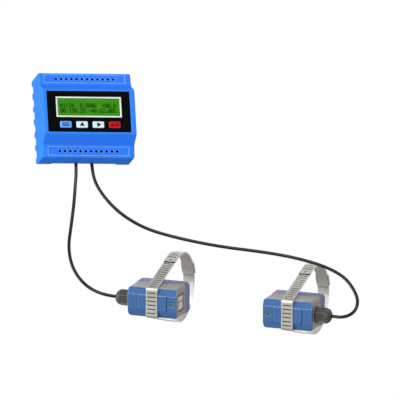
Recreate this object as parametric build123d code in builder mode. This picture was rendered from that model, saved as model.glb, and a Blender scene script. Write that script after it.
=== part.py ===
"""Clamp-on ultrasonic flow meter: a rail-mounted display module wired to two strapped transducers.

Millimetres. The meter module stands upright with its front towards -Y, and the origin is the centre
of the seat where its back meets the mounting rail. The transducers hang on their cables below it, on
a pipe line that runs down to the right and towards the front.
"""
import math
import os

from build123d import *

os.makedirs("parts", exist_ok=True)

# Meter module
METER_WIDTH = 101.0
METER_HEIGHT = 93.5
FACE_HEIGHT = 49.2
SHELF_HEIGHT = 13.65  # of each terminal shelf, above and below the slopes
SLOPE_DEPTH = 13.3
SHELF_FALL = 2.2
FACE_TO_RAIL = 54.0
COVER_DEPTH = 41.7
WALL = 2.2
FIT_GAP = 0.15
SEAT_GAP = 0.3
EDGE_ROUND = 1.4

FACE_Y = -FACE_TO_RAIL
SPLIT_Y = FACE_Y + COVER_DEPTH
SHELF_INNER_Y = FACE_Y + SLOPE_DEPTH
SHELF_OUTER_Y = SHELF_INNER_Y + SHELF_FALL
HALF_WIDTH = METER_WIDTH / 2
HALF_HEIGHT = METER_HEIGHT / 2
SHELF_INNER_HEIGHT = HALF_HEIGHT - SHELF_HEIGHT

# Snap tabs along the cover's side walls
TAB_COUNT = 7
TAB_PITCH = 14.2
TAB_HEIGHT = 6.4
TAB_REACH = 5.4

# Base tray and its rail seat
BASE_OVERLAP = 7.7  # how far the tray's rim stands inside the cover
RIM_BACK_Y = -7.0
TRAY_DEPTH_BEHIND_RAIL = 5.5
TRAY_TAPER = 3.6
TRAY_FLOOR = 2.2
LEDGE = 2.4
RAIL_HEIGHT = 35.0
RAIL_THICKNESS = 1.0
RAIL_GAP = 0.25
HOOK_REACH = 2.0
HOOK_THICKNESS = 2.4
POCKET_WALL = 2.0
POCKET_RAIL_WALL = 2.25
CLIP_WALL_X = 12.8

RAIL_HALF = RAIL_HEIGHT / 2 + RAIL_GAP
HOOK_Y = RAIL_THICKNESS + RAIL_GAP
RIM_HALF_X = HALF_WIDTH - WALL - FIT_GAP
RIM_HALF_Z = HALF_HEIGHT - WALL - FIT_GAP
RIM_FRONT_Y = SPLIT_Y - BASE_OVERLAP
FLOOR_Y = -TRAY_FLOOR
POCKET_X = RIM_HALF_X - TRAY_TAPER - POCKET_WALL
POCKET_Z = (RAIL_HALF + POCKET_RAIL_WALL, RIM_HALF_Z - TRAY_TAPER - POCKET_WALL)

# Rail clip
CLIP_WIDTH = 20.0
CLIP_RIB_WIDTH = 14.6
CLIP_THICKNESS = 2.4
CLIP_RIB_HEIGHT = 1.7
CLIP_END_GAP = 6.15  # from the tray's lower edge up to the clip's end
CLIP_SLOT_RISE = 4.1
CLIP_NOSE = 1.0
CLIP_SLOT = (8.0, 2.2)

CLIP_BOTTOM_Z = -HALF_HEIGHT + CLIP_END_GAP
CLIP_SLOT_Z = CLIP_BOTTOM_Z + CLIP_SLOT_RISE

# Terminal rows
TERMINAL_COUNT = 12
TERMINAL_PITCH = 5.7
BLOCK_HEIGHT = 9.0
BLOCK_DEPTH = 14.0
BLOCK_END = 0.5
BLOCK_CHAMFER = 0.8
BLOCK_WALL_GAP = 1.35
ENTRY = 4.0
ENTRY_DEPTH = 4.2
ENTRY_Y = -15.0
SCREW_HEAD = 3.1
SCREW_HEAD_HEIGHT = 2.0
SCREW_WELL = 3.5
SCREW_WELL_DEPTH = 4.0
DRIVER_HOLE = 3.2
STRIP_LENGTH = 89.1
STRIP_HEIGHT = 10.2
STRIP_THICKNESS = 1.2
STRIP_RIM = 0.5
STRIP_RIM_WIDTH = 0.8
STRIP_GAP = 0.2
STRIP_LEDGE = 1.8
NOTCH_FRONT_Y = -17.8
NOTCH_MARGIN = 0.6

SHELF_MIDDLE_Z = (SHELF_INNER_HEIGHT + HALF_HEIGHT) / 2
SHELF_MIDDLE_Y = (SHELF_INNER_Y + SHELF_OUTER_Y) / 2
ROW_HALF = TERMINAL_COUNT * TERMINAL_PITCH / 2
BLOCK_LENGTH = 2 * (ROW_HALF + BLOCK_END)
NOTCH_HALF = BLOCK_LENGTH / 2 + NOTCH_MARGIN
BLOCK_OUTER_Z = HALF_HEIGHT - WALL - BLOCK_WALL_GAP

# Display, keys and front panel
PANEL_X = -0.8
PANEL_SIZE = (90.7, 45.3)
PANEL_THICKNESS = 0.5
PANEL_GAP = 0.1
SCREEN_X = -0.6
SCREEN_Z = 5.1
BEZEL_SIZE = (71.3, 22.6)
BEZEL_FRAME = 1.65
BEZEL_SHEET = 0.5
SCREEN_GAP = 0.25
GLASS_THICKNESS = 2.8
KEY_NAMES = ("key_menu", "key_up", "key_right", "key_enter")
KEY_X = -0.1
KEY_Z = -14.5
KEY_PITCH = 17.8
KEY_SIZE = (12.4, 7.1)
KEY_ROUND = 1.3
KEY_CHAMFER = 0.35
KEY_STANDS_OUT = 0.8
KEY_GAP = 0.3
KEY_FLANGE = 0.9
KEY_FLANGE_THICKNESS = 1.0
KEY_STEM = 3.4
KEY_TRAVEL = 0.5
SWITCH_SIZE = 6.0
SWITCH_HEIGHT = 3.5
SWITCH_WELL = 1.7
BOARD_THICKNESS = 1.6
DISPLAY_BOARD_DEPTH = 8.4  # from the face to the board's front
DISPLAY_BOARD_MARGIN = (4.5, 2.6)  # to the cover's sides and to the face's edges
DISPLAY_POST_INSET = (4.5, 3.4)
POST_DIAMETER = 5.6
BOARD_SCREW_HEAD = 5.0
BOARD_SCREW_HEIGHT = 1.8
BOARD_SCREW_SHANK = 2.4
BOARD_SCREW_LENGTH = 4.6
SHANK_GAP = 0.2
MAIN_POST_INSET = (12.15, 14.4)

# Components on the main board: width, height and depth, then the middle's place on the board
POWER_MODULE = (38.0, 24.0, 14.0)
POWER_MODULE_PLACE = (-22.0, 12.0)
POWER_MODULE_ROUND = 1.5
POWER_MODULE_CHAMFER = 1.0
RELAY = (19.0, 15.0, 15.0)
RELAY_PLACE = (-28.0, -16.0)
RELAY_CHAMFER = 0.6
PROCESSOR = (14.0, 14.0, 1.4)
PROCESSOR_PLACE = (0.0, -16.0)
PROCESSOR_CHAMFER = 0.8
CAPACITOR_DIAMETER = 8.0
CAPACITOR_HEIGHT = 12.0
CAPACITOR_PITCH = 10.0
CAPACITOR_PLACE = (22.0, -14.0)
CAPACITOR_CHAMFER = 0.6
RIBBON_X = 10.0
RIBBON_Z = 8.0
RIBBON_WIDTH = 20.0
RIBBON_THICKNESS = 1.0
RIBBON_RISE = 5.0

WALL_BACK_Y = FACE_Y + WALL
DISPLAY_BOARD_SIZE = (
    METER_WIDTH - 2 * DISPLAY_BOARD_MARGIN[0],
    FACE_HEIGHT - 2 * DISPLAY_BOARD_MARGIN[1],
)
DISPLAY_BOARD_Y = FACE_Y + DISPLAY_BOARD_DEPTH
DISPLAY_POST = (
    DISPLAY_BOARD_SIZE[0] / 2 - DISPLAY_POST_INSET[0],
    DISPLAY_BOARD_SIZE[1] / 2 - DISPLAY_POST_INSET[1],
)
GLASS_FRONT_Y = FACE_Y + 0.2 + BEZEL_SHEET
MAIN_BOARD_BACK_Y = RIM_BACK_Y
MAIN_BOARD_Y = MAIN_BOARD_BACK_Y - BOARD_THICKNESS
MAIN_POST = (RIM_HALF_X - MAIN_POST_INSET[0], RIM_HALF_Z - MAIN_POST_INSET[1])

# Pipe line and transducers
PIPE_RADIUS = 36.5
PIPE_POINT = (158.5, -50.3, -197.9)
PIPE_YAW = -31.5
PIPE_DIP = 12.7
PIPE_ROLL = 26.4
SENSOR_SPACING = 152.6
SENSOR_LENGTH = 55.0
SENSOR_HEIGHT = 31.8
SENSOR_DEPTH = 39.2
SENSOR_ROUND = 3.0
FOOT_OVERHANG = 0.9
FOOT_THICKNESS = 10.0
FOOT_ROUND = 4.6
COVER_THICKNESS = 4.2
COVER_FACE_HALF = 8.3
COVER_BEVEL_DEPTH = 3.0
COVER_PAD = 0.35
COVER_PAD_HALF = 16.0
SADDLE_WIDTH = 13.6
CASE_WALL = 2.4
SPIGOT_DEPTH = 2.0
SPIGOT_GAP = 0.2
SPIGOT_WALL = 1.5
COVER_SCREW_X = 21.7
COVER_SCREW_HEAD = 5.2
COVER_SCREW_HEIGHT = 1.8
COVER_SCREW_SHANK = 2.6
COVER_SCREW_LENGTH = 9.0
COVER_SCREW_CHAMFER = 0.5
COVER_SCREW_SLOT = (2.8, 0.7, 1.1)
COVER_SCREW_SINK = 0.3
BOSS_SIZE = 8.0
PLATE_SIZE = (17.2, 19.0)
PLATE_MIDDLE = 62.0
PLATE_THICKNESS = 0.9
PLATE_RECESS = 0.6
PLATE_RIM = 0.8

FRONT = PIPE_RADIUS + SENSOR_DEPTH
FOOT_TOP = PIPE_RADIUS + FOOT_THICKNESS
CASE_TOP = FRONT - COVER_THICKNESS

# Acoustic wedge
WEDGE_X = (-20.0, 15.0)
WEDGE_WIDTH = 21.4
WEDGE_LOW = 48.5
WEDGE_HIGH = 64.0
WEDGE_SLANT_END = 6.0
WEDGE_SHOULDER = 1.4
WEDGE_LENGTH = WEDGE_X[1] - WEDGE_X[0]
WEDGE_MIDDLE = (WEDGE_X[0] + WEDGE_X[1]) / 2
CRYSTAL_DIAMETER = 14.0
CRYSTAL_THICKNESS = 1.6

# Cable gland
GLAND_OUT = 62.0
GLAND_THREAD = 11.0
GLAND_HEX = 16.0
GLAND_HEX_THICKNESS = 4.0
GLAND_LENGTH = 17.5
GLAND_FLOOR = 10.5  # where the cable's sheath stops, measured out from the case's end
GLAND_NECK_END = 13.5
GLAND_SEAL_LENGTH = 4.5
GLAND_BORE = 8.4
GLAND_NUT_FLATS = 15.4
GLAND_DOME_START = 12.5
GLAND_TIP = 7.4
SEAL_GAP = 0.1
NUT_GAP = 0.25
CABLE_DIAMETER = 3.6
CABLE_HOLE_GAP = 0.3

# Strap and worm drive
STRAP_WIDTH = 12.7
STRAP_THICKNESS = 0.75
STRAP_LAP_GAP = 0.15
STRAP_BEND = 2.2
STRAP_START = 8.0  # degrees up from the back, where the fixed end lies
LAP_START = -25.0
LAP_END = -5.0
TAIL_STRAIGHT = 11.5
SLOT_PITCH = 4.4
SLOT_LENGTH = 9.4
SLOT_WIDTH = 1.3
SLOT_DEPTH = 0.5  # pressed into the outer face, not through
TAIL_HOLE = 2.4
TAIL_HOLE_INSET = 3.5
DRIVE_ANGLE = 20.0
DRIVE_LENGTH = 12.0
DRIVE_SHEET = 0.8
DRIVE_SIDE_GAP = 0.25
WORM_DIAMETER = 6.8
WORM_GAP = 0.1
WORM_HEX = 6.4
WORM_HEAD = 4.4
WORM_COLLAR = 1.0
WORM_HEIGHT = 5.4
DRIVE_FOOT = 0.2


def facing(y):
    """A sketch plane of the meter that faces the front, with X to the right and Z up."""
    return Plane.XZ.offset(-y)


def shelf_plane(side):
    """The sloping face of the top (side 1) or bottom (side -1) terminal shelf."""
    rise = HALF_HEIGHT - SHELF_INNER_HEIGHT
    return Plane(
        origin=(0, SHELF_MIDDLE_Y, side * SHELF_MIDDLE_Z),
        x_dir=(1, 0, 0),
        z_dir=(0, -rise, side * SHELF_FALL),
    )


ROW_POSITIONS = [
    (TERMINAL_PITCH * (i - (TERMINAL_COUNT - 1) / 2), 0) for i in range(TERMINAL_COUNT)
]
KEY_CENTRES = [KEY_X + KEY_PITCH * (i - 1.5) for i in range(4)]

# The stepped side profile: face, slopes and terminal shelves
COVER_PROFILE = [
    (SPLIT_Y, HALF_HEIGHT),
    (SHELF_OUTER_Y, HALF_HEIGHT),
    (SHELF_INNER_Y, SHELF_INNER_HEIGHT),
    (FACE_Y, FACE_HEIGHT / 2),
    (FACE_Y, -FACE_HEIGHT / 2),
    (SHELF_INNER_Y, -SHELF_INNER_HEIGHT),
    (SHELF_OUTER_Y, -HALF_HEIGHT),
    (SPLIT_Y, -HALF_HEIGHT),
]

# Housing cover: one moulded shell with the panel recess, strip openings, wire notches and snap tabs
with BuildPart() as housing_cover:
    with BuildSketch(Plane.YZ.offset(-HALF_WIDTH)):
        with BuildLine():
            Polyline(*COVER_PROFILE, close=True)
        make_face()
    extrude(amount=METER_WIDTH)
    edges = housing_cover.edges().filter_by(lambda e: e.center().Y < SPLIT_Y - 1)
    inner_corners = edges.filter_by(
        lambda e: abs(abs(e.center().Z) - SHELF_INNER_HEIGHT) < 0.1 and abs(e.center().X) < 1
    )
    fillet(edges - inner_corners, EDGE_ROUND)
    with BuildSketch(Plane.YZ.offset(-HALF_WIDTH + WALL)):
        with BuildLine():
            Polyline(*COVER_PROFILE, close=True)
        make_face()
        offset(amount=-WALL, kind=Kind.INTERSECTION)
        with Locations((SPLIT_Y, 0)):
            Rectangle(3 * WALL, METER_HEIGHT - 2 * WALL)
    extrude(amount=METER_WIDTH - 2 * WALL, mode=Mode.SUBTRACT)
    # Posts that carry the display board
    with BuildSketch(facing(WALL_BACK_Y - SEAT_GAP)):
        with Locations((PANEL_X, 0)):
            with GridLocations(2 * DISPLAY_POST[0], 2 * DISPLAY_POST[1], 2, 2):
                Circle(POST_DIAMETER / 2)
    extrude(amount=-(DISPLAY_BOARD_Y - WALL_BACK_Y + SEAT_GAP))
    with BuildSketch(facing(DISPLAY_BOARD_Y)):
        with Locations((PANEL_X, 0)):
            with GridLocations(2 * DISPLAY_POST[0], 2 * DISPLAY_POST[1], 2, 2):
                Circle(BOARD_SCREW_SHANK / 2 + SHANK_GAP)
    extrude(amount=BOARD_SCREW_LENGTH, mode=Mode.SUBTRACT)
    # Panel recess, screen window and key holes
    with BuildSketch(facing(FACE_Y)):
        with Locations((PANEL_X, 0)):
            Rectangle(PANEL_SIZE[0] + 2 * PANEL_GAP, PANEL_SIZE[1] + 2 * PANEL_GAP)
    extrude(amount=-PANEL_THICKNESS, mode=Mode.SUBTRACT)
    with BuildSketch(facing(FACE_Y)):
        with Locations((SCREEN_X, SCREEN_Z)):
            Rectangle(BEZEL_SIZE[0] + 2 * SCREEN_GAP, BEZEL_SIZE[1] + 2 * SCREEN_GAP)
        with Locations(*[(x, KEY_Z) for x in KEY_CENTRES]):
            RectangleRounded(KEY_SIZE[0] + 2 * KEY_GAP, KEY_SIZE[1] + 2 * KEY_GAP, KEY_ROUND)
    extrude(amount=-WALL, mode=Mode.SUBTRACT)
    # Seats and openings for the two snap-in terminal strips
    for side in (1, -1):
        with BuildSketch(shelf_plane(side)):
            Rectangle(STRIP_LENGTH + 2 * STRIP_GAP, STRIP_HEIGHT + 2 * STRIP_GAP)
        extrude(amount=-STRIP_THICKNESS, mode=Mode.SUBTRACT)
        with BuildSketch(shelf_plane(side)):
            Rectangle(STRIP_LENGTH - 2 * STRIP_LEDGE, STRIP_HEIGHT - 2 * STRIP_LEDGE)
        extrude(amount=-2 * WALL, mode=Mode.SUBTRACT)
    # Wire notches in the rear edge of the top and bottom walls
    with BuildSketch(Plane.XY.offset(-HALF_HEIGHT)):
        with Locations((0, (NOTCH_FRONT_Y + SPLIT_Y) / 2 + 1)):
            Rectangle(2 * NOTCH_HALF, SPLIT_Y - NOTCH_FRONT_Y + 2)
    extrude(amount=METER_HEIGHT, mode=Mode.SUBTRACT)
    # Snap tabs that grip the tray's sides
    for wall_x in (-HALF_WIDTH, HALF_WIDTH - WALL):
        with BuildSketch(Plane.YZ.offset(wall_x)) as tab_row:
            with Locations((SPLIT_Y + TAB_REACH / 2 - 1, 0)):
                with GridLocations(TAB_REACH + 2, TAB_PITCH, 1, TAB_COUNT):
                    Rectangle(TAB_REACH + 2, TAB_HEIGHT)
            tips = tab_row.vertices().filter_by(lambda v: v.X > SPLIT_Y + 1)
            fillet(tips, TAB_HEIGHT / 2 - 0.6)
        extrude(amount=WALL)
housing_cover.part.label = "housing_cover"
export_step(housing_cover.part, "parts/housing_cover.step")

# Housing base: a tray whose rim stands inside the cover, tapering to the rail seat at its back
with BuildPart() as housing_base:
    with BuildSketch(facing(RIM_BACK_Y)):
        RectangleRounded(2 * RIM_HALF_X, 2 * RIM_HALF_Z, 1.0)
    extrude(amount=RIM_BACK_Y - RIM_FRONT_Y)
    with BuildSketch(facing(RIM_BACK_Y)):
        RectangleRounded(2 * RIM_HALF_X, 2 * RIM_HALF_Z, 1.0)
    with BuildSketch(facing(TRAY_DEPTH_BEHIND_RAIL)):
        RectangleRounded(2 * (RIM_HALF_X - TRAY_TAPER), 2 * (RIM_HALF_Z - TRAY_TAPER), 1.0)
    loft()
    with BuildSketch(facing(RIM_BACK_Y)):
        Rectangle(2 * (RIM_HALF_X - WALL), 2 * (RIM_HALF_Z - WALL))
    extrude(amount=RIM_BACK_Y - RIM_FRONT_Y, mode=Mode.SUBTRACT)
    with BuildSketch(facing(FLOOR_Y)):
        Rectangle(2 * (RIM_HALF_X - WALL - LEDGE), 2 * (RIM_HALF_Z - WALL - LEDGE))
    extrude(amount=FLOOR_Y - RIM_BACK_Y, mode=Mode.SUBTRACT)
    # Deeper pockets above and below the rail channel, and posts under the main board
    pocket_floor = TRAY_DEPTH_BEHIND_RAIL - TRAY_FLOOR
    pocket_middle = (POCKET_Z[0] + POCKET_Z[1]) / 2
    with BuildSketch(facing(pocket_floor)):
        with Locations((0, pocket_middle)):
            Rectangle(2 * POCKET_X, POCKET_Z[1] - POCKET_Z[0])
        for x in (-1, 1):
            with Locations((x * (POCKET_X + CLIP_WALL_X) / 2, -pocket_middle)):
                Rectangle(POCKET_X - CLIP_WALL_X, POCKET_Z[1] - POCKET_Z[0])
    extrude(amount=pocket_floor - FLOOR_Y, mode=Mode.SUBTRACT)
    with BuildSketch(facing(pocket_floor)):
        with GridLocations(2 * MAIN_POST[0], 2 * MAIN_POST[1], 2, 2):
            Circle(POST_DIAMETER / 2)
    extrude(amount=pocket_floor - MAIN_BOARD_BACK_Y)
    with BuildSketch(facing(MAIN_BOARD_BACK_Y)):
        with GridLocations(2 * MAIN_POST[0], 2 * MAIN_POST[1], 2, 2):
            Circle(BOARD_SCREW_SHANK / 2 + SHANK_GAP)
    extrude(amount=-BOARD_SCREW_LENGTH, mode=Mode.SUBTRACT)
    # Rail channel, and the undercut of the fixed hook along its top
    with BuildSketch(Plane.YZ.offset(-HALF_WIDTH)):
        with BuildLine():
            Polyline(
                (0, -RAIL_HALF),
                (0, RAIL_HALF),
                (HOOK_Y, RAIL_HALF),
                (HOOK_Y, RAIL_HALF - HOOK_REACH),
                (HOOK_Y + HOOK_THICKNESS, RAIL_HALF - HOOK_REACH),
                (HOOK_Y + HOOK_THICKNESS + 3, RAIL_HALF + 1),
                (HOOK_Y + HOOK_THICKNESS + 3, -RAIL_HALF),
                close=True,
            )
        make_face()
    extrude(amount=METER_WIDTH, mode=Mode.SUBTRACT)
    # T-shaped guide of the rail clip, open at the bottom
    with BuildSketch(Plane.XY.offset(-RAIL_HALF)):
        with Locations((0, HOOK_Y - SEAT_GAP + (CLIP_THICKNESS + 2 * SEAT_GAP) / 2)):
            Rectangle(CLIP_WIDTH + 2 * SEAT_GAP, CLIP_THICKNESS + 2 * SEAT_GAP)
        with Locations((0, HOOK_Y + CLIP_THICKNESS + 2)):
            Rectangle(CLIP_RIB_WIDTH + 2 * SEAT_GAP, 5)
    extrude(amount=-METER_HEIGHT / 2, mode=Mode.SUBTRACT)
    # Wire notches in the rim
    with BuildSketch(Plane.XY.offset(-HALF_HEIGHT)):
        with Locations((0, (RIM_FRONT_Y + MAIN_BOARD_Y) / 2 - 1)):
            Rectangle(2 * NOTCH_HALF, MAIN_BOARD_Y - RIM_FRONT_Y + 2)
    extrude(amount=METER_HEIGHT, mode=Mode.SUBTRACT)
housing_base.part.label = "housing_base"
export_step(housing_base.part, "parts/housing_base.step")

# Rail clip: a sliding plate whose top edge catches the rail's lower lip
with BuildPart() as rail_clip:
    clip_top = -RAIL_HALF + HOOK_REACH
    clip_length = clip_top - CLIP_BOTTOM_Z
    with BuildSketch(Plane.XY.offset(clip_top)):
        with Locations((0, HOOK_Y + CLIP_THICKNESS / 2)):
            Rectangle(CLIP_WIDTH, CLIP_THICKNESS)
    extrude(amount=-clip_length)
    nose = rail_clip.edges().filter_by(Axis.X).group_by(Axis.Z)[-1].sort_by(Axis.Y)[-1]
    chamfer(nose, CLIP_NOSE)
    with BuildSketch(Plane.XY.offset(-RAIL_HALF - SEAT_GAP)):
        with Locations((0, HOOK_Y + CLIP_THICKNESS + CLIP_RIB_HEIGHT / 2 - 0.1)):
            Rectangle(CLIP_RIB_WIDTH, CLIP_RIB_HEIGHT + 0.2)
    extrude(amount=-(-RAIL_HALF - SEAT_GAP - CLIP_BOTTOM_Z))
    with BuildSketch(facing(HOOK_Y - 1)):
        with Locations((0, CLIP_SLOT_Z)):
            RectangleRounded(CLIP_SLOT[0], CLIP_SLOT[1], 0.6)
    extrude(amount=-10, mode=Mode.SUBTRACT)
rail_clip.part.label = "rail_clip"
export_step(rail_clip.part, "parts/rail_clip.step")

# Terminals: strip, block and screws, once at the top and once at the bottom
for side, row in ((1, "top"), (-1, "bottom")):
    with BuildPart() as terminal_strip:
        with BuildSketch(shelf_plane(side).offset(-STRIP_THICKNESS)):
            Rectangle(STRIP_LENGTH, STRIP_HEIGHT)
        extrude(amount=STRIP_THICKNESS)
        with BuildSketch(shelf_plane(side)):
            Rectangle(STRIP_LENGTH, STRIP_HEIGHT)
            offset(amount=-STRIP_RIM_WIDTH, kind=Kind.INTERSECTION, mode=Mode.SUBTRACT)
        extrude(amount=STRIP_RIM)
        with BuildSketch(shelf_plane(side)):
            with Locations(*ROW_POSITIONS):
                Circle(DRIVER_HOLE / 2)
        extrude(amount=-STRIP_THICKNESS, mode=Mode.SUBTRACT)
    terminal_strip.part.label = f"{row}_terminal_strip"
    export_step(terminal_strip.part, f"parts/{row}_terminal_strip.step")

    block_middle = side * (BLOCK_OUTER_Z - BLOCK_HEIGHT / 2)
    block_front = MAIN_BOARD_Y - BLOCK_DEPTH
    with BuildPart() as terminal_block:
        with BuildSketch(facing(MAIN_BOARD_Y)):
            with Locations((0, block_middle)):
                Rectangle(BLOCK_LENGTH, BLOCK_HEIGHT)
        extrude(amount=BLOCK_DEPTH)
        crown = terminal_block.edges().filter_by(Axis.X).group_by(Axis.Y)[0]
        chamfer(crown, BLOCK_CHAMFER)
        with BuildSketch(Plane.XY.offset(side * (BLOCK_OUTER_Z - ENTRY_DEPTH))):
            with Locations((0, ENTRY_Y)):
                with GridLocations(TERMINAL_PITCH, 1, TERMINAL_COUNT, 1):
                    Rectangle(ENTRY, ENTRY)
        extrude(amount=side * ENTRY_DEPTH * 1.2, mode=Mode.SUBTRACT)
        with BuildSketch(facing(block_front)):
            with Locations((0, side * SHELF_MIDDLE_Z)):
                with GridLocations(TERMINAL_PITCH, 1, TERMINAL_COUNT, 1):
                    Circle(SCREW_WELL / 2)
        extrude(amount=-SCREW_WELL_DEPTH, mode=Mode.SUBTRACT)
    terminal_block.part.label = f"{row}_terminal_block"
    export_step(terminal_block.part, f"parts/{row}_terminal_block.step")

    with BuildPart() as terminal_screws:
        with BuildSketch(facing(block_front + SCREW_WELL_DEPTH)):
            with Locations((0, side * SHELF_MIDDLE_Z)):
                with GridLocations(TERMINAL_PITCH, 1, TERMINAL_COUNT, 1):
                    Circle(SCREW_HEAD / 2)
        extrude(amount=SCREW_HEAD_HEIGHT)
        with BuildSketch(facing(block_front + SCREW_WELL_DEPTH - SCREW_HEAD_HEIGHT)):
            with Locations((0, side * SHELF_MIDDLE_Z)):
                Rectangle(2 * ROW_HALF, 0.6)
        extrude(amount=-SCREW_HEAD_HEIGHT / 2, mode=Mode.SUBTRACT)
    terminal_screws.part.label = f"{row}_terminal_screws"
    export_step(terminal_screws.part, f"parts/{row}_terminal_screws.step")

# Front panel: a thin black overlay in the cover's recess
with BuildPart() as front_panel:
    with BuildSketch(facing(FACE_Y + PANEL_THICKNESS)):
        with Locations((PANEL_X, 0)):
            Rectangle(*PANEL_SIZE)
        with Locations((SCREEN_X, SCREEN_Z)):
            Rectangle(
                BEZEL_SIZE[0] + 2 * SCREEN_GAP, BEZEL_SIZE[1] + 2 * SCREEN_GAP, mode=Mode.SUBTRACT
            )
        with Locations(*[(x, KEY_Z) for x in KEY_CENTRES]):
            RectangleRounded(
                KEY_SIZE[0] + 2 * KEY_GAP,
                KEY_SIZE[1] + 2 * KEY_GAP,
                KEY_ROUND,
                mode=Mode.SUBTRACT,
            )
    extrude(amount=PANEL_THICKNESS)
front_panel.part.label = "front_panel"
export_step(front_panel.part, "parts/front_panel.step")

# Keys: rounded caps with a retaining flange behind the wall and a stem into the switch
key_front = FACE_Y - KEY_STANDS_OUT
flange_front = WALL_BACK_Y + SEAT_GAP
flange_back = flange_front + KEY_FLANGE_THICKNESS
stem_tip = DISPLAY_BOARD_Y - SWITCH_HEIGHT + SWITCH_WELL - KEY_TRAVEL - SEAT_GAP
for name, x in zip(KEY_NAMES, KEY_CENTRES):
    with BuildPart() as key:
        with BuildSketch(facing(flange_front)):
            with Locations((x, KEY_Z)):
                RectangleRounded(KEY_SIZE[0], KEY_SIZE[1], KEY_ROUND)
        extrude(amount=flange_front - key_front)
        chamfer(key.faces().sort_by(Axis.Y)[0].edges(), KEY_CHAMFER)
        with BuildSketch(facing(flange_back)):
            with Locations((x, KEY_Z)):
                Rectangle(KEY_SIZE[0] + 2 * KEY_FLANGE, KEY_SIZE[1] + 2 * KEY_FLANGE)
        extrude(amount=KEY_FLANGE_THICKNESS)
        with BuildSketch(facing(stem_tip)):
            with Locations((x, KEY_Z)):
                Circle(KEY_STEM / 2)
        extrude(amount=stem_tip - flange_back)
    key.part.label = name
    export_step(key.part, f"parts/{name}.step")

# Key switches: four tactile switch bodies on the display board
with BuildPart() as key_switches:
    with BuildSketch(facing(DISPLAY_BOARD_Y)):
        with Locations(*[(x, KEY_Z) for x in KEY_CENTRES]):
            Rectangle(SWITCH_SIZE, SWITCH_SIZE)
    extrude(amount=SWITCH_HEIGHT)
    with BuildSketch(facing(DISPLAY_BOARD_Y - SWITCH_HEIGHT)):
        with Locations(*[(x, KEY_Z) for x in KEY_CENTRES]):
            Circle(KEY_STEM / 2 + KEY_GAP)
    extrude(amount=-SWITCH_WELL, mode=Mode.SUBTRACT)
key_switches.part.label = "key_switches"
export_step(key_switches.part, "parts/key_switches.step")

# Display board on the cover's posts, with its four screws
with BuildPart() as display_board:
    with BuildSketch(facing(DISPLAY_BOARD_Y + BOARD_THICKNESS)):
        with Locations((PANEL_X, 0)):
            Rectangle(*DISPLAY_BOARD_SIZE)
            with GridLocations(2 * DISPLAY_POST[0], 2 * DISPLAY_POST[1], 2, 2):
                Circle(BOARD_SCREW_SHANK / 2 + SHANK_GAP, mode=Mode.SUBTRACT)
    extrude(amount=BOARD_THICKNESS)
display_board.part.label = "display_board"
export_step(display_board.part, "parts/display_board.step")

with BuildPart() as display_screws:
    with BuildSketch(facing(DISPLAY_BOARD_Y + BOARD_THICKNESS + BOARD_SCREW_HEIGHT)):
        with Locations((PANEL_X, 0)):
            with GridLocations(2 * DISPLAY_POST[0], 2 * DISPLAY_POST[1], 2, 2):
                Circle(BOARD_SCREW_HEAD / 2)
    extrude(amount=BOARD_SCREW_HEIGHT)
    with BuildSketch(facing(DISPLAY_BOARD_Y + BOARD_THICKNESS)):
        with Locations((PANEL_X, 0)):
            with GridLocations(2 * DISPLAY_POST[0], 2 * DISPLAY_POST[1], 2, 2):
                Circle(BOARD_SCREW_SHANK / 2)
    extrude(amount=BOARD_THICKNESS + BOARD_SCREW_LENGTH - SEAT_GAP)
display_screws.part.label = "display_screws"
export_step(display_screws.part, "parts/display_screws.step")

# Screen: metal bezel, glass cell and backlight block, standing on the display board
with BuildPart() as lcd_bezel:
    with BuildSketch(facing(DISPLAY_BOARD_Y)):
        with Locations((SCREEN_X, SCREEN_Z)):
            Rectangle(*BEZEL_SIZE)
    extrude(amount=DISPLAY_BOARD_Y - (FACE_Y + 0.2))
    with BuildSketch(facing(DISPLAY_BOARD_Y)):
        with Locations((SCREEN_X, SCREEN_Z)):
            Rectangle(BEZEL_SIZE[0] - 2 * BEZEL_SHEET, BEZEL_SIZE[1] - 2 * BEZEL_SHEET)
    extrude(amount=DISPLAY_BOARD_Y - GLASS_FRONT_Y, mode=Mode.SUBTRACT)
    with BuildSketch(facing(GLASS_FRONT_Y)):
        with Locations((SCREEN_X, SCREEN_Z)):
            Rectangle(BEZEL_SIZE[0] - 2 * BEZEL_FRAME, BEZEL_SIZE[1] - 2 * BEZEL_FRAME)
    extrude(amount=2 * BEZEL_SHEET, mode=Mode.SUBTRACT)
lcd_bezel.part.label = "lcd_bezel"
export_step(lcd_bezel.part, "parts/lcd_bezel.step")

cell_inset = 2 * (BEZEL_SHEET + PANEL_GAP)
with BuildPart() as lcd_glass:
    with BuildSketch(facing(GLASS_FRONT_Y + GLASS_THICKNESS)):
        with Locations((SCREEN_X, SCREEN_Z)):
            Rectangle(BEZEL_SIZE[0] - cell_inset, BEZEL_SIZE[1] - cell_inset)
    extrude(amount=GLASS_THICKNESS)
lcd_glass.part.label = "lcd_glass"
export_step(lcd_glass.part, "parts/lcd_glass.step")

with BuildPart() as lcd_backlight:
    with BuildSketch(facing(DISPLAY_BOARD_Y)):
        with Locations((SCREEN_X, SCREEN_Z)):
            Rectangle(BEZEL_SIZE[0] - cell_inset, BEZEL_SIZE[1] - cell_inset)
    extrude(amount=DISPLAY_BOARD_Y - (GLASS_FRONT_Y + GLASS_THICKNESS))
lcd_backlight.part.label = "lcd_backlight"
export_step(lcd_backlight.part, "parts/lcd_backlight.step")

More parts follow.
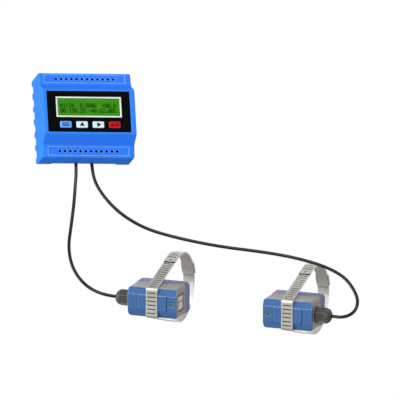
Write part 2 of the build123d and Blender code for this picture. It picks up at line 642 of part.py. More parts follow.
# Main board on the tray's ledge and posts, with its screws and large components
with BuildPart() as main_board:
    with BuildSketch(facing(MAIN_BOARD_BACK_Y)):
        Rectangle(2 * (RIM_HALF_X - WALL - SEAT_GAP), 2 * (RIM_HALF_Z - WALL - SEAT_GAP))
        with GridLocations(2 * MAIN_POST[0], 2 * MAIN_POST[1], 2, 2):
            Circle(BOARD_SCREW_SHANK / 2 + SHANK_GAP, mode=Mode.SUBTRACT)
    extrude(amount=BOARD_THICKNESS)
main_board.part.label = "main_board"
export_step(main_board.part, "parts/main_board.step")

with BuildPart() as board_screws:
    with BuildSketch(facing(MAIN_BOARD_Y)):
        with GridLocations(2 * MAIN_POST[0], 2 * MAIN_POST[1], 2, 2):
            Circle(BOARD_SCREW_HEAD / 2)
    extrude(amount=BOARD_SCREW_HEIGHT)
    with BuildSketch(facing(MAIN_BOARD_Y)):
        with GridLocations(2 * MAIN_POST[0], 2 * MAIN_POST[1], 2, 2):
            Circle(BOARD_SCREW_SHANK / 2)
    extrude(amount=-(BOARD_THICKNESS + BOARD_SCREW_LENGTH - SEAT_GAP))
board_screws.part.label = "board_screws"
export_step(board_screws.part, "parts/board_screws.step")

with BuildPart() as power_module:
    with BuildSketch(facing(MAIN_BOARD_Y)):
        with Locations(POWER_MODULE_PLACE):
            RectangleRounded(POWER_MODULE[0], POWER_MODULE[1], POWER_MODULE_ROUND)
    extrude(amount=POWER_MODULE[2])
    chamfer(power_module.faces().sort_by(Axis.Y)[0].edges(), POWER_MODULE_CHAMFER)
power_module.part.label = "power_module"
export_step(power_module.part, "parts/power_module.step")

with BuildPart() as output_relay:
    with BuildSketch(facing(MAIN_BOARD_Y)):
        with Locations(RELAY_PLACE):
            Rectangle(RELAY[0], RELAY[1])
    extrude(amount=RELAY[2])
    chamfer(output_relay.faces().sort_by(Axis.Y)[0].edges(), RELAY_CHAMFER)
output_relay.part.label = "output_relay"
export_step(output_relay.part, "parts/output_relay.step")

with BuildPart() as processor_chip:
    with BuildSketch(facing(MAIN_BOARD_Y)):
        with Locations(PROCESSOR_PLACE):
            Rectangle(PROCESSOR[0], PROCESSOR[1])
    extrude(amount=PROCESSOR[2])
    chamfer(processor_chip.edges().filter_by(Axis.Y), PROCESSOR_CHAMFER)
processor_chip.part.label = "processor_chip"
export_step(processor_chip.part, "parts/processor_chip.step")

with BuildPart() as capacitors:
    with BuildSketch(facing(MAIN_BOARD_Y)):
        with Locations(CAPACITOR_PLACE):
            with GridLocations(CAPACITOR_PITCH, 1, 3, 1):
                Circle(CAPACITOR_DIAMETER / 2)
    extrude(amount=CAPACITOR_HEIGHT)
    chamfer(capacitors.faces().filter_by(Axis.Y).group_by(Axis.Y)[0].edges(), CAPACITOR_CHAMFER)
capacitors.part.label = "capacitors"
export_step(capacitors.part, "parts/capacitors.step")

# Ribbon link between the two boards, bowed upwards
ribbon_back = MAIN_BOARD_Y
ribbon_front = DISPLAY_BOARD_Y + BOARD_THICKNESS
ribbon_middle = (ribbon_front + ribbon_back) / 2
ribbon_top = RIBBON_Z + RIBBON_THICKNESS
with BuildPart() as ribbon_link:
    with BuildSketch(Plane.YZ.offset(RIBBON_X)):
        with BuildLine():
            upper = ThreePointArc(
                (ribbon_front, ribbon_top),
                (ribbon_middle, ribbon_top + RIBBON_RISE),
                (ribbon_back, ribbon_top),
            )
            Line(upper @ 1, (ribbon_back, RIBBON_Z))
            ThreePointArc(
                (ribbon_back, RIBBON_Z),
                (ribbon_middle, RIBBON_Z + RIBBON_RISE),
                (ribbon_front, RIBBON_Z),
            )
            Line((ribbon_front, RIBBON_Z), upper @ 0)
        make_face()
    extrude(amount=RIBBON_WIDTH)
ribbon_link.part.label = "ribbon_link"
export_step(ribbon_link.part, "parts/ribbon_link.step")

# The pipe line's frame: x along the pipe, y away from the transducers' fronts, z across
PIPE = (
    Location(PIPE_POINT)
    * Location((0, 0, 0), (0, 0, PIPE_YAW))
    * Location((0, 0, 0), (0, PIPE_DIP, 0))
    * Location((0, 0, 0), (PIPE_ROLL, 0, 0))
)


def plane_in(base, origin, x_dir, z_dir):
    """A sketch plane whose origin and directions are given in the base plane's coordinates."""
    start = base.from_local_coords(Vector(*origin))
    x_end = base.from_local_coords(Vector(*origin) + Vector(*x_dir))
    z_end = base.from_local_coords(Vector(*origin) + Vector(*z_dir))
    return Plane(origin=start, x_dir=x_end - start, z_dir=z_end - start)


def polar(radius, degrees):
    """A point round the pipe in the plane across it: 0 degrees at the back, 90 above."""
    angle = math.radians(degrees)
    return (radius * math.cos(angle), radius * math.sin(angle))


def strap_route(lift):
    """Corners and tangent points of the strap's inner face, raised by lift from the pipe side."""
    bend_centre = (-(FRONT - STRAP_BEND), SENSOR_HEIGHT / 2 - STRAP_BEND)
    bend = STRAP_BEND + lift
    radius = PIPE_RADIUS + lift
    reach = math.hypot(*bend_centre)
    direction = math.degrees(math.atan2(bend_centre[1], bend_centre[0]))
    # Both circles are touched from the outside, so the tangent leans by the difference of radii
    lean = math.degrees(math.acos((radius - bend) / reach))
    touch = direction - lean
    on_pipe = polar(radius, touch)
    on_bend = polar(bend, touch)
    on_bend = (on_bend[0] + bend_centre[0], on_bend[1] + bend_centre[1])
    front_top = (bend_centre[0] - bend, bend_centre[1])
    half = (touch + 180) / 2
    bend_middle = polar(bend, half)
    bend_middle = (bend_middle[0] + bend_centre[0], bend_middle[1] + bend_centre[1])
    return touch, on_pipe, on_bend, bend_middle, front_top


def below(point):
    """The same point mirrored below the transducer's middle."""
    return (point[0], -point[1])


LAP = STRAP_THICKNESS + STRAP_LAP_GAP
CUT_PAST = 0.1  # how far a cut starts outside the face that it enters
TOUCH = strap_route(0)[0]


def slot_places():
    """Middle and heading of every slot in the strap, in the plane across the pipe."""
    touch, on_pipe, on_bend, _, front_top = strap_route(0)
    slant = math.dist(on_pipe, on_bend)
    lean = math.degrees(math.atan2(on_bend[1] - on_pipe[1], on_bend[0] - on_pipe[0]))
    middle = STRAP_THICKNESS - SLOT_DEPTH / 2 + CUT_PAST
    places = []
    # Outer lap over the pipe and its free tail, from the drive upwards
    clear = DRIVE_ANGLE + math.degrees((DRIVE_LENGTH / 2 + 3) / PIPE_RADIUS)
    lap_step = math.degrees(SLOT_PITCH / (PIPE_RADIUS + LAP))
    for i in range(int((touch - clear) / lap_step)):
        angle = touch - (i + 0.5) * lap_step
        places.append((polar(PIPE_RADIUS + LAP + middle, angle), angle + 90))
    tail_start = strap_route(LAP + middle)[1]
    x, z = polar(SLOT_PITCH / 2, lean)
    places.append(((tail_start[0] + x, tail_start[1] + z), lean))
    # Slants above and below the transducer
    for half in (1, -1):
        start = strap_route(middle)[1]
        for i in range(3 if half > 0 else 0, int(slant / SLOT_PITCH)):
            x, z = polar((i + 0.5) * SLOT_PITCH, lean)
            places.append(((start[0] + x, half * (start[1] + z)), half * lean))
    # Front, over the saddle
    count = int(2 * front_top[1] / SLOT_PITCH)
    for i in range(count):
        height = (i - (count - 1) / 2) * SLOT_PITCH
        places.append(((-(FRONT + middle), height), 90))
    # Under the pipe
    step = math.degrees(SLOT_PITCH / PIPE_RADIUS)
    for i in range(int((touch + LAP_START) / step)):
        angle = -touch + (i + 0.5) * step
        places.append((polar(PIPE_RADIUS + middle, angle), angle + 90))
    return places


SLOTS = slot_places()

# The two transducers: the right-hand one is the same part turned end for end
for side_name, along, turn in (
    ("left", -SENSOR_SPACING / 2, 0),
    ("right", SENSOR_SPACING / 2, 180),
):
    seat = PIPE * Location((along, 0, 0))
    upright = Plane(seat)
    profile = Plane(seat * Location((0, 0, 0), (0, turn, 0)))
    deck = plane_in(profile, (0, 0, 0), (1, 0, 0), (0, -1, 0))
    section = plane_in(profile, (0, 0, 0), (0, 1, 0), (1, 0, 0))
    outward = Axis(deck.origin, deck.z_dir)

    # Foot: the moulded flange round the wedge, flat on the pipe side
    with BuildPart() as foot:
        with BuildSketch(deck.offset(PIPE_RADIUS)):
            RectangleRounded(
                SENSOR_LENGTH + 2 * FOOT_OVERHANG, SENSOR_HEIGHT + 2 * FOOT_OVERHANG, FOOT_ROUND
            )
            with Locations((WEDGE_MIDDLE, 0)):
                Rectangle(
                    WEDGE_LENGTH + 2 * FIT_GAP, WEDGE_WIDTH + 2 * FIT_GAP, mode=Mode.SUBTRACT
                )
        extrude(amount=FOOT_THICKNESS)
        fillet(foot.faces().sort_by(outward)[-1].outer_wire().edges(), 0.8)
    foot.part.label = f"{side_name}_foot"
    export_step(foot.part, f"parts/{side_name}_foot.step")

    # Wedge: clear plastic prism, held by its shoulder on the foot, with a slant for the crystal
    with BuildPart() as wedge:
        with BuildSketch(profile.offset(-WEDGE_WIDTH / 2)):
            with BuildLine():
                Polyline(
                    (WEDGE_X[0], -PIPE_RADIUS),
                    (WEDGE_X[1], -PIPE_RADIUS),
                    (WEDGE_X[1], -WEDGE_HIGH),
                    (WEDGE_SLANT_END, -WEDGE_HIGH),
                    (WEDGE_X[0], -WEDGE_LOW),
                    close=True,
                )
            make_face()
        extrude(amount=WEDGE_WIDTH)
        with BuildSketch(deck.offset(FOOT_TOP)):
            with Locations((WEDGE_MIDDLE, 0)):
                Rectangle(WEDGE_LENGTH + 2 * WEDGE_SHOULDER, WEDGE_WIDTH + 2 * WEDGE_SHOULDER)
        extrude(amount=WEDGE_LOW - FOOT_TOP)
    wedge.part.label = f"{side_name}_wedge"
    export_step(wedge.part, f"parts/{side_name}_wedge.step")

    slant = (WEDGE_SLANT_END - WEDGE_X[0], WEDGE_HIGH - WEDGE_LOW)
    slant_middle = ((WEDGE_SLANT_END + WEDGE_X[0]) / 2, -(WEDGE_HIGH + WEDGE_LOW) / 2, 0)
    slant_plane = plane_in(
        profile, slant_middle, (slant[0], -slant[1], 0), (-slant[1], -slant[0], 0)
    )
    with BuildPart() as crystal:
        with BuildSketch(slant_plane):
            Circle(CRYSTAL_DIAMETER / 2)
        extrude(amount=CRYSTAL_THICKNESS)
    crystal.part.label = f"{side_name}_crystal"
    export_step(crystal.part, f"parts/{side_name}_crystal.step")

    # Case: open frame with a screw boss, the gland's hole at one end and a plate recess at the other
    with BuildPart() as case:
        with BuildSketch(deck.offset(FOOT_TOP)):
            RectangleRounded(SENSOR_LENGTH, SENSOR_HEIGHT, SENSOR_ROUND)
            RectangleRounded(
                SENSOR_LENGTH - 2 * CASE_WALL,
                SENSOR_HEIGHT - 2 * CASE_WALL,
                SENSOR_ROUND / 2,
                mode=Mode.SUBTRACT,
            )
        extrude(amount=CASE_TOP - FOOT_TOP)
        with BuildSketch(deck.offset(FOOT_TOP)):
            with Locations((SENSOR_LENGTH / 2 - CASE_WALL - BOSS_SIZE / 2 + 0.5, 0)):
                Rectangle(BOSS_SIZE + 1, BOSS_SIZE)
        extrude(amount=CASE_TOP - FOOT_TOP - SPIGOT_DEPTH - SEAT_GAP)
        with BuildSketch(deck.offset(CASE_TOP)):
            with Locations((COVER_SCREW_X, 0)):
                Circle(COVER_SCREW_SHANK / 2 + SHANK_GAP)
        extrude(amount=-(COVER_SCREW_LENGTH + SEAT_GAP), mode=Mode.SUBTRACT)
        with BuildSketch(section.offset(-SENSOR_LENGTH / 2)):
            with Locations((-GLAND_OUT, 0)):
                Circle(GLAND_THREAD / 2 + FIT_GAP)
        extrude(amount=2 * CASE_WALL, mode=Mode.SUBTRACT)
        with BuildSketch(section.offset(SENSOR_LENGTH / 2)):
            with Locations((-PLATE_MIDDLE, 0)):
                Rectangle(PLATE_SIZE[0] + 2 * STRIP_GAP, PLATE_SIZE[1] + 2 * STRIP_GAP)
        extrude(amount=-PLATE_RECESS, mode=Mode.SUBTRACT)
    case.part.label = f"{side_name}_case"
    export_step(case.part, f"parts/{side_name}_case.step")

    # End plate: blank label carrier with a raised frame
    with BuildPart() as end_plate:
        with BuildSketch(section.offset(SENSOR_LENGTH / 2 - PLATE_RECESS)):
            with Locations((-PLATE_MIDDLE, 0)):
                Rectangle(*PLATE_SIZE)
        extrude(amount=PLATE_RECESS)
        with BuildSketch(section.offset(SENSOR_LENGTH / 2)):
            with Locations((-PLATE_MIDDLE, 0)):
                Rectangle(*PLATE_SIZE)
                Rectangle(
                    PLATE_SIZE[0] - 2 * PLATE_RIM, PLATE_SIZE[1] - 2 * PLATE_RIM, mode=Mode.SUBTRACT
                )
        extrude(amount=PLATE_THICKNESS - PLATE_RECESS)
    end_plate.part.label = f"{side_name}_end_plate"
    export_step(end_plate.part, f"parts/{side_name}_end_plate.step")

    # Cover: bevelled lid with a raised pad, the strap's saddle and a locating lip inside the case
    with BuildPart() as cover:
        with BuildSketch(deck.offset(CASE_TOP)):
            RectangleRounded(SENSOR_LENGTH, SENSOR_HEIGHT, SENSOR_ROUND)
        extrude(amount=COVER_THICKNESS - COVER_PAD)
        with BuildSketch(section.offset(-SENSOR_LENGTH / 2)):
            for half in (1, -1):
                with BuildLine():
                    Polyline(
                        (-FRONT, half * COVER_FACE_HALF),
                        (-(FRONT - COVER_PAD), half * COVER_FACE_HALF),
                        (-(FRONT - COVER_PAD - COVER_BEVEL_DEPTH), half * SENSOR_HEIGHT / 2),
                        (-(FRONT - COVER_PAD - COVER_BEVEL_DEPTH), half * SENSOR_HEIGHT),
                        (-FRONT, half * SENSOR_HEIGHT),
                        close=True,
                    )
                make_face()
        extrude(amount=SENSOR_LENGTH, mode=Mode.SUBTRACT)
        with BuildSketch(deck.offset(FRONT - COVER_PAD)):
            RectangleRounded(2 * COVER_PAD_HALF, 2 * COVER_FACE_HALF, 1.5)
        extrude(amount=COVER_PAD)
        with BuildSketch(section.offset(-SADDLE_WIDTH / 2)) as saddle:
            with Locations((-(FRONT + CASE_TOP) / 2, 0)):
                Rectangle(COVER_THICKNESS, SENSOR_HEIGHT)
            fillet(saddle.vertices().group_by(Axis.X)[0], STRAP_BEND)
        extrude(amount=SADDLE_WIDTH)
        with BuildSketch(deck.offset(CASE_TOP)):
            lip_gap = CASE_WALL + SPIGOT_GAP
            RectangleRounded(
                SENSOR_LENGTH - 2 * lip_gap, SENSOR_HEIGHT - 2 * lip_gap, SENSOR_ROUND / 2
            )
            RectangleRounded(
                SENSOR_LENGTH - 2 * (lip_gap + SPIGOT_WALL),
                SENSOR_HEIGHT - 2 * (lip_gap + SPIGOT_WALL),
                SENSOR_ROUND / 3,
                mode=Mode.SUBTRACT,
            )
        extrude(amount=-SPIGOT_DEPTH)
        with BuildSketch(deck.offset(FRONT)):
            with Locations((COVER_SCREW_X, 0)):
                Circle(COVER_SCREW_HEAD / 2 + SEAT_GAP)
        extrude(amount=-(COVER_PAD + COVER_SCREW_HEIGHT + COVER_SCREW_SINK), mode=Mode.SUBTRACT)
        with BuildSketch(deck.offset(FRONT)):
            with Locations((COVER_SCREW_X, 0)):
                Circle(COVER_SCREW_SHANK / 2 + SHANK_GAP)
        extrude(amount=-3 * COVER_THICKNESS, mode=Mode.SUBTRACT)
    cover.part.label = f"{side_name}_cover"
    export_step(cover.part, f"parts/{side_name}_cover.step")

    screw_seat = FRONT - COVER_PAD - COVER_SCREW_HEIGHT - COVER_SCREW_SINK
    with BuildPart() as cover_screw:
        with BuildSketch(deck.offset(screw_seat)):
            with Locations((COVER_SCREW_X, 0)):
                Circle(COVER_SCREW_HEAD / 2)
        extrude(amount=COVER_SCREW_HEIGHT)
        chamfer(cover_screw.faces().sort_by(outward)[-1].edges(), COVER_SCREW_CHAMFER)
        with BuildSketch(deck.offset(screw_seat + COVER_SCREW_HEIGHT)):
            with Locations((COVER_SCREW_X, 0)):
                Rectangle(COVER_SCREW_SLOT[0], COVER_SCREW_SLOT[1])
                Rectangle(COVER_SCREW_SLOT[1], COVER_SCREW_SLOT[0])
        extrude(amount=-COVER_SCREW_SLOT[2], mode=Mode.SUBTRACT)
        with BuildSketch(deck.offset(screw_seat)):
            with Locations((COVER_SCREW_X, 0)):
                Circle(COVER_SCREW_SHANK / 2)
        extrude(amount=-(screw_seat - CASE_TOP + COVER_SCREW_LENGTH))
    cover_screw.part.label = f"{side_name}_cover_screw"
    export_step(cover_screw.part, f"parts/{side_name}_cover_screw.step")

    # Cable gland: body with its hexagon, seal ring and domed nut
    mouth = plane_in(profile, (-SENSOR_LENGTH / 2, -GLAND_OUT, 0), (0, 0, 1), (-1, 0, 0))
    mouth_axis = Axis(mouth.origin, mouth.z_dir)
    with BuildPart() as gland_body:
        with BuildSketch(mouth):
            RegularPolygon(GLAND_HEX / 2, 6, major_radius=False)
        extrude(amount=GLAND_HEX_THICKNESS)
        chamfer(gland_body.faces().sort_by(mouth_axis)[-1].edges(), 0.5)
        with BuildSketch(mouth.offset(-CASE_WALL - 3)):
            Circle(GLAND_THREAD / 2)
        extrude(amount=CASE_WALL + 3 + GLAND_NECK_END)
        with BuildSketch(mouth.offset(GLAND_NECK_END)):
            Circle(GLAND_BORE / 2)
        extrude(amount=GLAND_FLOOR - GLAND_NECK_END, mode=Mode.SUBTRACT)
        with BuildSketch(mouth.offset(-CASE_WALL - 3)):
            Circle(GLAND_BORE / 2 - 0.6)
        extrude(amount=CASE_WALL + 3 + GLAND_FLOOR - 1.2, mode=Mode.SUBTRACT)
    gland_body.part.label = f"{side_name}_gland_body"
    export_step(gland_body.part, f"parts/{side_name}_gland_body.step")

    with BuildPart() as gland_seal:
        with BuildSketch(mouth.offset(GLAND_FLOOR)):
            Circle(GLAND_BORE / 2 - SEAL_GAP)
            Circle(CABLE_DIAMETER / 2 + SEAL_GAP, mode=Mode.SUBTRACT)
        extrude(amount=GLAND_SEAL_LENGTH)
    gland_seal.part.label = f"{side_name}_gland_seal"
    export_step(gland_seal.part, f"parts/{side_name}_gland_seal.step")

    nut_start = GLAND_HEX_THICKNESS + NUT_GAP
    seal_end = GLAND_FLOOR + GLAND_SEAL_LENGTH
    nut_side = Plane(origin=mouth.origin, x_dir=mouth.z_dir, z_dir=mouth.x_dir)
    with BuildPart() as gland_nut:
        with BuildSketch(mouth.offset(nut_start)):
            RegularPolygon(GLAND_NUT_FLATS / 2, 6, major_radius=False)
        extrude(amount=GLAND_DOME_START - nut_start)
        with BuildSketch(nut_side):
            with BuildLine():
                Line((GLAND_DOME_START - 0.5, 0), (GLAND_DOME_START - 0.5, GLAND_NUT_FLATS / 2))
                Line(
                    (GLAND_DOME_START - 0.5, GLAND_NUT_FLATS / 2),
                    (GLAND_DOME_START, GLAND_NUT_FLATS / 2),
                )
                ThreePointArc(
                    (GLAND_DOME_START, GLAND_NUT_FLATS / 2),
                    (GLAND_LENGTH - 1.5, 0.78 * GLAND_NUT_FLATS / 2),
                    (GLAND_LENGTH, GLAND_TIP / 2),
                )
                Line((GLAND_LENGTH, GLAND_TIP / 2), (GLAND_LENGTH, 0))
                Line((GLAND_LENGTH, 0), (GLAND_DOME_START - 0.5, 0))
            make_face()
        revolve(axis=mouth_axis)
        with BuildSketch(mouth.offset(nut_start)):
            Circle(GLAND_THREAD / 2 + SEAT_GAP)
        extrude(amount=GLAND_NECK_END + SEAT_GAP - nut_start, mode=Mode.SUBTRACT)
        with BuildSketch(mouth.offset(nut_start)):
            Circle(GLAND_BORE / 2 + SEAT_GAP)
        extrude(amount=seal_end + SEAT_GAP - nut_start, mode=Mode.SUBTRACT)
        with BuildSketch(mouth.offset(nut_start)):
            Circle(CABLE_DIAMETER / 2 + CABLE_HOLE_GAP)
        extrude(amount=GLAND_LENGTH, mode=Mode.SUBTRACT)
    gland_nut.part.label = f"{side_name}_gland_nut"
    export_step(gland_nut.part, f"parts/{side_name}_gland_nut.step")

    # Strap: one band, fixed end at the back, over the saddle and round under the drive to its tail
    inner_route = strap_route(0)
    outer_route = strap_route(STRAP_THICKNESS)
    lap_in = strap_route(LAP)
    lap_out = strap_route(LAP + STRAP_THICKNESS)
    tail_run = (inner_route[2][0] - inner_route[1][0], inner_route[2][1] - inner_route[1][1])
    tail_share = TAIL_STRAIGHT / math.hypot(*tail_run)
    tail_step = (tail_run[0] * tail_share, tail_run[1] * tail_share)
    tail_in = (lap_in[1][0] + tail_step[0], lap_in[1][1] + tail_step[1])
    tail_out = (lap_out[1][0] + tail_step[0], lap_out[1][1] + tail_step[1])
    outer_radius = PIPE_RADIUS + STRAP_THICKNESS
    lap_radius = PIPE_RADIUS + LAP
    lap_middle = (LAP_START + LAP_END) / 2
    with BuildPart() as strap:
        across = plane_in(upright, (0, 0, 0), (0, 1, 0), (1, 0, 0))
        with BuildSketch(across.offset(-STRAP_WIDTH / 2)):
            with BuildLine():
                # Inner face, from the fixed end to the tail
                ThreePointArc(
                    polar(PIPE_RADIUS, STRAP_START),
                    polar(PIPE_RADIUS, (STRAP_START + TOUCH) / 2),
                    inner_route[1],
                )
                Line(inner_route[1], inner_route[2])
                ThreePointArc(inner_route[2], inner_route[3], inner_route[4])
                Line(inner_route[4], below(inner_route[4]))
                ThreePointArc(below(inner_route[4]), below(inner_route[3]), below(inner_route[2]))
                Line(below(inner_route[2]), below(inner_route[1]))
                ThreePointArc(
                    below(inner_route[1]),
                    polar(PIPE_RADIUS, (LAP_START - TOUCH) / 2),
                    polar(PIPE_RADIUS, LAP_START),
                )
                ThreePointArc(
                    polar(PIPE_RADIUS, LAP_START),
                    polar(PIPE_RADIUS + LAP / 2, lap_middle),
                    polar(lap_radius, LAP_END),
                )
                ThreePointArc(
                    polar(lap_radius, LAP_END),
                    polar(lap_radius, (LAP_END + TOUCH) / 2),
                    lap_in[1],
                )
                Line(lap_in[1], tail_in)
                Line(tail_in, tail_out)
                # Outer face, back from the tail to the fixed end
                Line(tail_out, lap_out[1])
                ThreePointArc(
                    lap_out[1],
                    polar(lap_radius + STRAP_THICKNESS, (LAP_END + TOUCH) / 2),
                    polar(lap_radius + STRAP_THICKNESS, LAP_END),
                )
                ThreePointArc(
                    polar(lap_radius + STRAP_THICKNESS, LAP_END),
                    polar(outer_radius + LAP / 2, lap_middle),
                    polar(outer_radius, LAP_START),
                )
                ThreePointArc(
                    polar(outer_radius, LAP_START),
                    polar(outer_radius, (LAP_START - TOUCH) / 2),
                    below(outer_route[1]),
                )
                Line(below(outer_route[1]), below(outer_route[2]))
                ThreePointArc(below(outer_route[2]), below(outer_route[3]), below(outer_route[4]))
                Line(below(outer_route[4]), outer_route[4])
                ThreePointArc(outer_route[4], outer_route[3], outer_route[2])
                Line(outer_route[2], outer_route[1])
                ThreePointArc(
                    outer_route[1],
                    polar(outer_radius, (STRAP_START + TOUCH) / 2),
                    polar(outer_radius, STRAP_START),
                )
                Line(polar(outer_radius, STRAP_START), polar(PIPE_RADIUS, STRAP_START))
            make_face()
        extrude(amount=STRAP_WIDTH)
        slots = [seat * Location((0, *point), (heading, 0, 0)) for point, heading in SLOTS]
        with Locations(*slots):
            Box(SLOT_LENGTH, SLOT_WIDTH, SLOT_DEPTH + 2 * CUT_PAST, mode=Mode.SUBTRACT)
        # Hole near the tail's end
        hole_share = (TAIL_STRAIGHT - TAIL_HOLE_INSET) / TAIL_STRAIGHT
        hole_at = (lap_in[1][0] + tail_step[0] * hole_share, lap_in[1][1] + tail_step[1] * hole_share)
        heading = math.degrees(math.atan2(tail_run[1], tail_run[0]))
        with Locations(seat * Location((0, *hole_at), (heading, 0, 0))):
            Cylinder(TAIL_HOLE / 2, 2 * STRAP_THICKNESS + CUT_PAST, mode=Mode.SUBTRACT)
    strap.part.label = f"{side_name}_strap"
    export_step(strap.part, f"parts/{side_name}_strap.step")

    # Worm drive over the lap: housing with an arch, and the screw that turns in it
    drive = plane_in(
        upright,
        (0, *polar(PIPE_RADIUS, DRIVE_ANGLE)),
        (1, 0, 0),
        (0, *polar(1, DRIVE_ANGLE + 90)),
    )
    side_in = STRAP_WIDTH / 2 + DRIVE_SIDE_GAP
    side_out = side_in + DRIVE_SHEET
    roof_in = LAP + STRAP_THICKNESS + SEAT_GAP
    roof_out = roof_in + DRIVE_SHEET
    arch_in = WORM_DIAMETER / 2 + WORM_GAP
    arch_out = arch_in + DRIVE_SHEET
    with BuildPart() as worm_housing:
        with BuildSketch(drive.offset(-DRIVE_LENGTH / 2)):
            with BuildLine():
                Polyline(
                    (-arch_out, WORM_HEIGHT),
                    (-arch_out, roof_out),
                    (-side_out, roof_out),
                    (-side_out, DRIVE_FOOT),
                    (-side_in, DRIVE_FOOT),
                    (-side_in, roof_in),
                    (-arch_in, roof_in),
                    (-arch_in, WORM_HEIGHT),
                )
                ThreePointArc(
                    (-arch_in, WORM_HEIGHT), (0, WORM_HEIGHT + arch_in), (arch_in, WORM_HEIGHT)
                )
                Polyline(
                    (arch_in, WORM_HEIGHT),
                    (arch_in, roof_in),
                    (side_in, roof_in),
                    (side_in, DRIVE_FOOT),
                    (side_out, DRIVE_FOOT),
                    (side_out, roof_out),
                    (arch_out, roof_out),
                    (arch_out, WORM_HEIGHT),
                )
                ThreePointArc(
                    (arch_out, WORM_HEIGHT), (0, WORM_HEIGHT + arch_out), (-arch_out, WORM_HEIGHT)
                )
            make_face()
        extrude(amount=DRIVE_LENGTH)
    worm_housing.part.label = f"{side_name}_worm_housing"
    export_step(worm_housing.part, f"parts/{side_name}_worm_housing.step")

    worm_reach = DRIVE_LENGTH / 2 + SEAT_GAP
    with BuildPart() as worm_screw:
        with BuildSketch(drive.offset(-worm_reach)):
            with Locations((0, WORM_HEIGHT)):
                Circle(WORM_DIAMETER / 2)
        extrude(amount=2 * worm_reach)
        with BuildSketch(drive.offset(-worm_reach)):
            with Locations((0, WORM_HEIGHT)):
                RegularPolygon(WORM_HEX / 2, 6, major_radius=False)
        extrude(amount=-WORM_HEAD)
        with BuildSketch(drive.offset(-worm_reach - WORM_HEAD)):
            with Locations((0, WORM_HEIGHT)):
                Rectangle(2 * WORM_HEX, 1.0)
        extrude(amount=1.6, mode=Mode.SUBTRACT)
        with BuildSketch(drive.offset(worm_reach)):
            with Locations((0, WORM_HEIGHT)):
                Circle(arch_in + 0.4)
        extrude(amount=WORM_COLLAR)
    worm_screw.part.label = f"{side_name}_worm_screw"
    export_step(worm_screw.part, f"parts/{side_name}_worm_screw.step")

# Cables: from the floor of the fifth and the eighth lower terminal to the floor of each gland
CABLE_X = 1.5 * TERMINAL_PITCH
ENTRY_FLOOR = BLOCK_OUTER_Z - ENTRY_DEPTH


def gland_point(side, beyond_tip):
    """A point on the left (-1) or right (1) gland's axis, measured outwards from the nut's tip."""
    reach = SENSOR_SPACING / 2 + SENSOR_LENGTH / 2 + GLAND_LENGTH + beyond_tip
    return tuple((PIPE * Location((side * reach, -GLAND_OUT, 0))).position)


left_points = [
    (-CABLE_X, ENTRY_Y, -ENTRY_FLOOR),
    (-CABLE_X, ENTRY_Y, -53.0),
    (-9.5, -11.5, -67.5),
    (-12.1, -9.5, -91.0),
    (-16.0, -7.5, -114.5),
    (-20.0, -7.0, -135.5),
    (-18.5, -8.0, -155.5),
    (-11.5, -11.0, -172.5),
    (0.0, -16.0, -186.0),
    gland_point(-1, 10.0),
    gland_point(-1, GLAND_FLOOR - GLAND_LENGTH),
]
right_points = [
    (CABLE_X, ENTRY_Y, -ENTRY_FLOOR),
    (CABLE_X, ENTRY_Y, -53.0),
    (11.5, -14.5, -68.5),
    (21.5, -20.0, -88.5),
    (37.0, -28.0, -108.0),
    (57.5, -40.0, -125.0),
    (81.0, -55.5, -137.5),
    (106.0, -73.5, -149.1),
    (132.5, -92.0, -159.5),
    (159.0, -111.5, -168.5),
    (183.5, -130.0, -178.0),
    (205.5, -146.5, -188.5),
    (224.5, -159.0, -199.5),
    (239.0, -168.0, -212.0),
    (246.5, -172.5, -225.5),
    (250.5, -174.5, -238.5),
    (248.0, -174.0, -248.5),
    (242.0, -170.5, -254.0),
    (234.0, -164.0, -255.0),
    gland_point(1, 0.5),
    gland_point(1, GLAND_FLOOR - GLAND_LENGTH),
]


def bend_radii(points):
    """The largest radius that each corner has room for, with a little run left between bends."""
    radii = []
    for before, corner, after in zip(points, points[1:], points[2:]):
        incoming = Vector(*corner) - Vector(*before)
        outgoing = Vector(*after) - Vector(*corner)
        half_turn = math.radians(incoming.get_angle(outgoing)) / 2
        radii.append(0.45 * min(incoming.length, outgoing.length) / math.tan(half_turn))
    return radii


for side_name, points in (("left", left_points), ("right", right_points)):
    radii = bend_radii(points)
    with BuildPart() as cable:
        with BuildLine() as route:
            FilletPolyline(*points, radius=radii)
        with BuildSketch(Plane(origin=route.line @ 0, z_dir=route.line % 0)):
            Circle(CABLE_DIAMETER / 2)
        sweep()
    cable.part.label = f"{side_name}_cable"
    export_step(cable.part, f"parts/{side_name}_cable.step")
    length = sum(edge.length for edge in route.edges())
    full = math.pi * CABLE_DIAMETER**2 / 4 * length
    print(f"{side_name} cable: length {length:.1f} mm, radii", end=" ")
    print(", ".join(f"{radius:.1f}" for radius in radii))
    print(f"{side_name} cable: volume {cable.part.volume:.1f}, section by length {full:.1f}")
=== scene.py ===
import math

import bmesh
import bpy
from mathutils import Matrix, Vector


